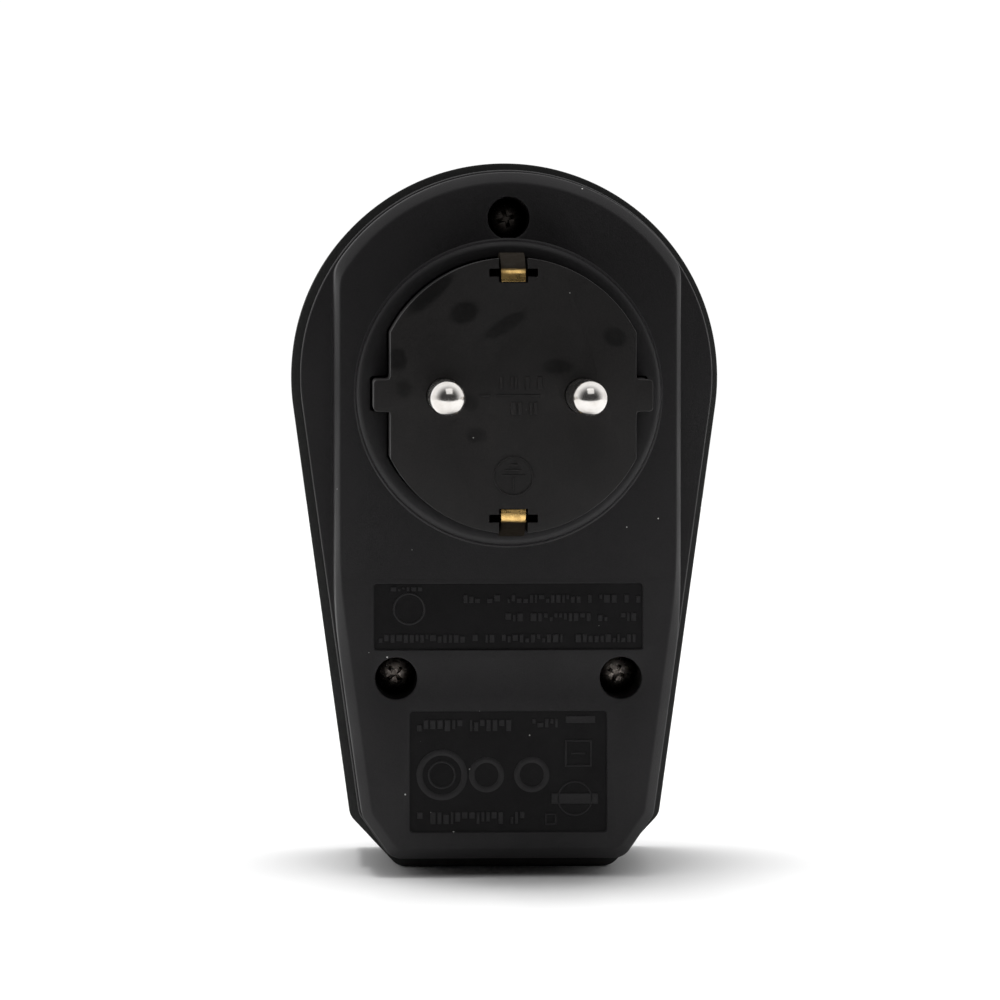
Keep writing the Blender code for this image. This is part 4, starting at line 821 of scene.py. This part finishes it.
def ringMark(bm, x, z, radius, line, y, height):
    low, high = y - height * 0.6, y - height
    profile = [(radius - line, y + 0.02), (radius - line, low), (radius - line * 0.7, high)]
    profile += [(radius - line * 0.3, high), (radius, low), (radius, y + 0.02)]
    turnedMesh("ring", profile, x, z, 48, True, bm)


def barMark(bm, x, z, width, tall, y, height):
    low = (x - width / 2, y - height, z - tall / 2)
    roundedBox(bm, low, (x + width / 2, y + 0.05, z + tall / 2), barRules["edge"], 1)


def barRow(bm, startX, endX, z, tall, y, height, rng):
    x = startX
    while x < endX:
        width = rng.uniform(*barRules["widths"])
        if rng.random() < barRules["skipped"]:
            x += barRules["space"]
            continue
        share = rng.choice((0.55, 0.8, 1.0, 1.0))
        shift = tall * (share - 1) / 2 * rng.choice((-1, 1))
        barMark(bm, x + width / 2, z + shift, width, tall * share, y, height)
        x += width + barRules["gap"]


def squareMark(bm, x, z, half, line, y, height):
    long, short = half * 2, half * 2 - line * 2
    for sx, sz, w, t in ((0, 1, long, line), (0, -1, long, line), (1, 0, line, short), (-1, 0, line, short)):
        barMark(bm, x + sx * (half - line / 2), z + sz * (half - line / 2), w, t, y, height)


def buildMarks(m):
    rng = random.Random(m["seed"])
    bm = bmesh.new()
    for kind, *spot in m["table"]:
        if kind == "row":
            barRow(bm, *spot, m["y"], m["height"], rng)
        elif kind == "ring":
            ringMark(bm, *spot, m["y"], m["height"])
        elif kind == "square":
            squareMark(bm, *spot, m["y"], m["height"])
        else:
            at = witness if kind == "witness" else m
            barMark(bm, *spot, at["y"], at["height"])
    return newPiece(m["name"], meshOf(bm, m["name"]), finishes[m["finish"]])


piece = buildMarks(plugMarks)
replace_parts(piece, "plug_boss")
piece = buildMarks(panelMarks)
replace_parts(piece, "rear_shell")
print("plug body and marks ready")

pin = {"radius": 2.4, "tip": -19.0, "head": (14.0, 14.9, 3.4)}


def buildPins(p):
    for name, node, side in (("pinLeft", "line_pin", -1), ("pinRight", "neutral_pin", 1)):
        r, tip = p["radius"], p["tip"]
        profile = []
        for step in range(15):
            angle = math.radians(90.0 * step / 14)
            profile.append((r * math.sin(angle), tip + r - r * math.cos(angle)))
        start, end, head = p["head"]
        profile += [(r, -1.2), (r, start - 0.2), (head - 0.15, start), (head, start + 0.15)]
        profile += [(head, end - 0.15), (head - 0.15, end), (0.0, end)]
        mesh = turnedMesh(name, profile, side * plug["pinX"], 0.0, 64)
        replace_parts(newPiece(name, mesh, finishes["nickel"], smooth=40.0), node)


buildPins(pin)

strap = {
    "width": 3.4, "thick": 0.7, "edge": 0.07,
    "line": (
        (0.6, 15.62), (0.6, 17.15), (2.4, 18.1), (5.0, 19.2), (8.7, 19.4), (11.89, 18.9),
        (13.92, 18.15), (17.0, 18.0), (31.0, 18.0), (34.0, 20.0), (44.0, 20.0), (48.1, 18.1),
        (52.17, 20.0), (54.17, 20.0),
    ),
}


# corners of a path cut twice, so that the strip bends instead of folding
def eased(path, rounds=2):
    for _ in range(rounds):
        cut = [path[0]]
        for a, b in zip(path, path[1:]):
            cut.append((a[0] * 0.78 + b[0] * 0.22, a[1] * 0.78 + b[1] * 0.22))
            cut.append((a[0] * 0.22 + b[0] * 0.78, a[1] * 0.22 + b[1] * 0.78))
        path = cut + [path[-1]]
    return path


def stripMesh(path, thick, half, side):
    path = [Vector(p) for p in path]
    left, right = [], []
    for i, point in enumerate(path):
        along = (path[min(i + 1, len(path) - 1)] - path[max(i - 1, 0)]).normalized()
        normal = Vector((-along.y, along.x)) * thick / 2
        left.append(point + normal)
        right.append(point - normal)
    outline = left + right[::-1]
    bm = bmesh.new()
    for x in (-half, half):
        ring = [bm.verts.new((x * mm, p.x * mm, side * p.y * mm)) for p in outline]
        bm.faces.new(ring)
    verts = list(bm.verts)
    count = len(outline)
    for i in range(count):
        j = (i + 1) % count
        bm.faces.new((verts[i], verts[j], verts[count + j], verts[count + i]))
    bmesh.ops.recalc_face_normals(bm, faces=bm.faces)
    return meshOf(bm, "strip")


def buildStraps(s):
    path = eased(s["line"])
    for name, node, side in (("strapUpper", "earth_strap_upper", 1), ("strapLower", "earth_strap_lower", -1)):
        mesh = bevelled(stripMesh(path, s["thick"], s["width"] / 2, side), s["edge"], 2, 50.0)
        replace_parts(newPiece(name, mesh, finishes["brassWithPaintedShade"], smooth=40.0), node)


# strap brass with painted shade: beyond |z| 17.3 to 17.6 mm and nearer than y 30 mm its colour is a dark
# brown painted shade, not metal
finishes["brassWithPaintedShade"] = workedMetal("brassWithPaintedShade", {
    "clean": (0.86, 0.57, 0.21), "stain": (0.30, 0.17, 0.06), "tarnished": 0.5, "dulling": 0.12,
    "rough": (0.18, 0.32), "grain": 0.3, "relief": 0.01, "cloud": 1.3, "stretch": (0.12, 1.0, 1.0),
    "shadeFrom": (17.3, 17.6), "shadeUntil": 0.03, "paintedShade": (0.012, 0.009, 0.006),
})
buildStraps(strap)
print("pins and straps ready")

screw = {
    "headRadius": 2.6, "headTop": 26.5, "headFoot": 28.7, "shank": 1.5, "end": 42.7,
    "crossReach": 1.55, "crossHalf": 0.34, "crossDepth": 1.3, "narrowing": (0.45, 0.3),
    "turns": (18.0, 40.0, 66.0), "pitch": 0.7, "thread": 0.3, "point": 1.4,
}


def buildScrews(s):
    for index, (name, (x, z)) in enumerate(screwSpots.items()):
        top, foot, r = s["headTop"], s["headFoot"], s["headRadius"]
        profile = [(0.0, top), (r * 0.45, top + 0.04), (r * 0.75, top + 0.2)]
        profile += [(r * 0.93, top + 0.55), (r, top + 1.0)]
        profile += [(r, foot - 0.15), (r - 0.15, foot), (s["shank"], foot)]
        y = foot
        while y < s["end"] - s["point"]:
            profile += [(s["shank"] - s["thread"], y + s["pitch"] / 2), (s["shank"], y + s["pitch"])]
            y += s["pitch"]
        profile.append((0.0, s["end"]))
        mesh = turnedMesh("screw", profile, x, z, 48)
        turn = math.radians(s["turns"][index])
        cutters = []
        for quarter in (0.0, math.pi / 2):
            bm = bmesh.new()
            reach, half = s["crossReach"], s["crossHalf"]
            roundedBox(bm, (-reach, top - 1.0, -half), (reach, top + s["crossDepth"], half))
            for vert in bm.verts:
                # the cross narrows towards its bottom
                deep = max(0.0, (vert.co.y / mm - top)) / s["crossDepth"]
                vert.co.x *= 1.0 - s["narrowing"][0] * deep
                vert.co.z *= 1.0 - s["narrowing"][1] * deep
                a = turn + quarter
                vx, vz = vert.co.x, vert.co.z
                vert.co.x = vx * math.cos(a) - vz * math.sin(a) + x * mm
                vert.co.z = vx * math.sin(a) + vz * math.cos(a) + z * mm
            cutters.append(meshOf(bm, "cross"))
        mesh = bevelled(carve(mesh, cutters), 0.05, 1, 45.0)
        title = "screw" + name.capitalize()
        piece = newPiece(title, mesh, finishes["blackSteel"], smooth=40.0)
        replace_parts(piece, "housing_screw_" + name)


buildScrews(screw)
print("screws ready")


cup = {
    "outer": 20.9, "inner": 19.5, "back": 38.5, "floor": 40.5, "front": 58.0,
    "pinHole": 2.9, "pinLip": 0.35, "slotHalf": 2.0, "slotEnd": 54.8, "slotReach": 23.0, "past": 36.0,
    "guideIn": 17.8, "guideOut": 20.2, "guideZ": (2.6, 5.2), "guideEnd": 56.0,
}


def buildCup(c):
    outer, inner, back, floor, face = c["outer"], c["inner"], c["back"], c["floor"], c["front"]
    profile = [(0.0, back), (outer - 0.3, back), (outer, back + 0.3), (outer, face - 0.4)]
    profile += [(outer - 0.12, face - 0.12), (outer - 0.4, face), (inner + 0.45, face)]
    profile += [(inner + 0.13, face - 0.13), (inner, face - 0.45), (inner, floor + 0.6)]
    profile += [(inner - 0.18, floor + 0.18), (inner - 0.6, floor), (0.0, floor)]
    mesh = turnedMesh("socketCup", profile, count=144)
    cutters = []
    for side in (-1, 1):
        cutters.append(boreMesh(c["pinHole"], floor, c["past"], c["pinLip"], side * plug["pinX"]))
        bm = bmesh.new()
        low, high = sorted((side * (inner - 0.3), side * c["slotReach"]))
        roundedBox(bm, (-c["slotHalf"], c["past"], low), (c["slotHalf"], c["slotEnd"], high))
        cutters.append(meshOf(bm, "slot"))
    mesh = carve(mesh, cutters)
    bm = bmesh.new()
    bm.from_mesh(mesh)
    for sideX in (-1, 1):
        for sideZ in (-1, 1):
            lowX, highX = sorted((sideX * c["guideIn"], sideX * c["guideOut"]))
            lowZ, highZ = sorted((sideZ * c["guideZ"][0], sideZ * c["guideZ"][1]))
            roundedBox(bm, (lowX, floor - 0.5, lowZ), (highX, c["guideEnd"], highZ), 0.3, 3)
    piece = newPiece("socketCup", meshOf(bm, "socketCup"), finishes["cup"], smooth=30.0)
    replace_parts(piece, "socket_cup")


buildCup(cup)

press = {
    "z": -36.5, "radius": 6.0, "top": 59.0, "lip": 7.2, "lipY": (54.3, 55.7),
    "stem": 2.2, "stemEnd": 51.0, "dish": 0.35,
    "ring": ((3.1, 0.3), (3.1, 0.17), (3.25, 0.12), (3.5, 0.1), (3.65, 0.13), (3.65, 0.3)),
}


def buildButton(b):
    lipFoot, lipTop = b["lipY"]
    radius, top, lip, stem = b["radius"], b["top"], b["lip"], b["stem"]
    profile = [(0.0, top - b["dish"])]
    for step in range(1, 8):
        share = step / 7
        profile.append((radius * 0.82 * share, top - b["dish"] * (1 - share ** 2)))
    profile += [(radius - 0.5, top - 0.02), (radius - 0.18, top - 0.16), (radius, top - 0.5)]
    profile += [(radius, lipTop), (lip, lipTop), (lip, lipFoot), (stem, lipFoot), (stem, b["stemEnd"])]
    profile.append((0.0, b["stemEnd"]))
    mesh = turnedMesh("buttonCap", profile, 0.0, b["z"], 96)
    bm = bmesh.new()
    bm.from_mesh(mesh)
    # a plain ring in the dish to find it by touch
    ring = [(wide, top - below) for wide, below in b["ring"]]
    turnedMesh("ring", ring, 0.0, b["z"], 96, True, bm)
    piece = newPiece("buttonCap", meshOf(bm, "buttonCap"), finishes["button"], "button", 30.0)
    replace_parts(piece, "button_cap")


buildButton(press)
print("socket side ready")


# carried-over nodes get their finishes
def circuitBoard():
    paint = Paint("solderMask")
    # copper runs under the lacquer, as slightly raised and lighter straight bands
    x, z = paint.axis("X"), paint.axis("Z")
    cell = paint.cells(3.2, 1)
    choice = paint.add("ShaderNodeSeparateColor", None, {0: cell}, 0)
    along = x * (choice > 0.5) + z * (choice < 0.5)
    wave = paint.add("ShaderNodeMath", {"operation": "PINGPONG"}, {0: along, 1: 0.0006})
    runs = paint.ramp(wave * 1666.0, ((0.52, 0.0), (0.6, 1.0)))
    colour = paint.mix(runs, (0.012, 0.075, 0.03), (0.03, 0.16, 0.065))
    glassWeave = paint.noise(0.5, 2.0)
    colour = paint.mix(glassWeave * 0.25, colour, (0.05, 0.2, 0.09))
    rough = 0.26 + glassWeave * 0.15
    normal = paint.bump(runs + glassWeave * 0.2, 0.035, 0.8)
    return paint.done(Base_Color=colour, Roughness=rough, Normal=normal)


def bandedPart(name, axis, edges, body, ends, metal, rough):
    # a part whose two ends, given in metres along one axis, have another finish
    paint = Paint(name)
    spot = paint.axis(axis)
    endMask = ((spot < edges[0]) + (spot > edges[1])).clipped()
    wear = paint.noise(0.6, 3.0, 0.6)
    colour = paint.mix(endMask, body, ends)
    colour = paint.mix(paint.ramp(wear, ((0.45, 0.0), (0.8, 0.5))), colour, [v * 0.6 for v in body])
    return paint.done(
        Base_Color=colour, Metallic=endMask * metal, Roughness=rough + wear * 0.15,
        Normal=paint.bump(wear, 0.02, 0.5),
    )


def clearPlastic():
    paint = Paint("clearPolymer")
    haze = paint.noise(0.9, 3.0, 0.6)
    paint.done(Transmission_Weight=0.85, IOR=1.49)
    colour = paint.mix(haze, (0.86, 0.88, 0.9), (0.72, 0.75, 0.78))
    return paint.done(Base_Color=colour, Roughness=0.08 + haze * 0.16, Normal=paint.bump(haze, 0.01, 0.3))


def plainPlastic(name, dark, light, speck, rough, grain, relief):
    look = {"dark": dark, "light": light, "speck": speck, "rough": rough, "grain": grain, "relief": relief}
    return mouldedPlastic(name, look)


fuseLow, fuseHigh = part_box("fuse")
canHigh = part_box("bulk_capacitor_1")[1]
tinned = workedMetal("tinnedSteel", {
    "clean": (0.66, 0.66, 0.65), "stain": (0.4, 0.39, 0.37), "tarnished": 0.5, "dulling": 0.12,
    "rough": (0.24, 0.36), "grain": 0.4, "relief": 0.01, "cloud": 1.8, "stretch": (1.0, 1.0, 0.1),
})
springSteel = workedMetal("springSteel", {
    "clean": (0.55, 0.55, 0.56), "stain": (0.3, 0.28, 0.26), "tarnished": 0.4, "dulling": 0.1,
    "rough": (0.2, 0.32), "grain": 0.3, "relief": 0.008, "cloud": 1.0, "stretch": (0.2, 1.0, 1.0),
})
carrierNylon = plainPlastic(
    "carrierNylon", (0.5, 0.49, 0.45), (0.6, 0.585, 0.54), (0.7, 0.69, 0.65),
    (0.42, 0.58), 0.3, 0.02,
)
chipEpoxy = plainPlastic(
    "chipEpoxy", (0.02, 0.02, 0.022), (0.03, 0.03, 0.033), (0.05, 0.05, 0.05),
    (0.4, 0.55), 0.15, 0.02,
)
ferrite = plainPlastic(
    "ferrite", (0.03, 0.03, 0.033), (0.055, 0.055, 0.06), (0.1, 0.1, 0.1),
    (0.35, 0.6), 0.25, 0.04,
)
leadBrown = plainPlastic(
    "leadBrown", (0.12, 0.05, 0.02), (0.16, 0.07, 0.03), (0.2, 0.1, 0.05),
    (0.36, 0.5), 0.5, 0.015,
)
leadBlue = plainPlastic(
    "leadBlue", (0.03, 0.11, 0.36), (0.05, 0.15, 0.45), (0.08, 0.2, 0.5),
    (0.36, 0.5), 0.5, 0.015,
)
clear = clearPlastic()
board = circuitBoard()

nodeFinishes = {
    "antenna_wire": tinned, "board_screw_left": tinned, "board_screw_right": tinned, "radio_can": tinned,
    "bridge_rectifier": chipEpoxy, "controller_chip": chipEpoxy, "tact_switch": chipEpoxy,
    "bulk_capacitor_1": bandedPart(
        "canSleeve", "Y", (-1.0, canHigh[1] - 0.0004), (0.02, 0.026, 0.055), (0.6, 0.6, 0.6), 1.0, 0.22,
    ),
    "contact_carrier": carrierNylon, "shutter_disc": carrierNylon,
    "earth_bridge": finishes["brass"], "line_contact": finishes["brass"], "line_tab": finishes["brass"],
    "neutral_contact": finishes["brass"], "neutral_busbar": finishes["brass"],
    "film_capacitor": plainPlastic(
        "filmEpoxy", (0.62, 0.42, 0.05), (0.75, 0.54, 0.08), (0.8, 0.65, 0.2),
        (0.28, 0.42), 0.6, 0.02,
    ),
    "filter_choke": ferrite, "transformer_core": ferrite,
    "fuse": bandedPart(
        "fuseBody", "Z", (fuseLow[2] + 0.002, fuseHigh[2] - 0.002),
        (0.68, 0.64, 0.56), (0.7, 0.68, 0.62), 1.0, 0.25,
    ),
    "light_pipe": clear, "status_led": clear, "switch_plunger": clear,
    "line_lead": leadBrown, "switched_lead": leadBrown, "neutral_lead": leadBlue,
    "main_board": board, "radio_board": board,
    "relay": plainPlastic(
        "relayCase", (0.02, 0.02, 0.023), (0.03, 0.03, 0.034), (0.05, 0.05, 0.055),
        (0.25, 0.4), 0.3, 0.01,
    ),
    "shutter_pivot": springSteel, "shutter_spring": springSteel,
    "transformer_bobbin": plainPlastic(
        "windingTape", (0.68, 0.55, 0.14), (0.8, 0.68, 0.24), (0.85, 0.75, 0.35),
        (0.3, 0.45), 1.2, 0.03,
    ),
    "varistor": plainPlastic(
        "varistorDip", (0.025, 0.08, 0.28), (0.04, 0.12, 0.4), (0.08, 0.18, 0.5),
        (0.22, 0.38), 0.8, 0.05,
    ),
}
nodeFinishes["bulk_capacitor_2"] = nodeFinishes["bulk_capacitor_1"]
for name, material in nodeFinishes.items():
    node = nodes[name]
    for index in range(max(1, len(node.data.materials))):
        if index < len(node.data.materials):
            node.data.materials[index] = material
        else:
            node.data.materials.append(material)
print("inner finishes ready")
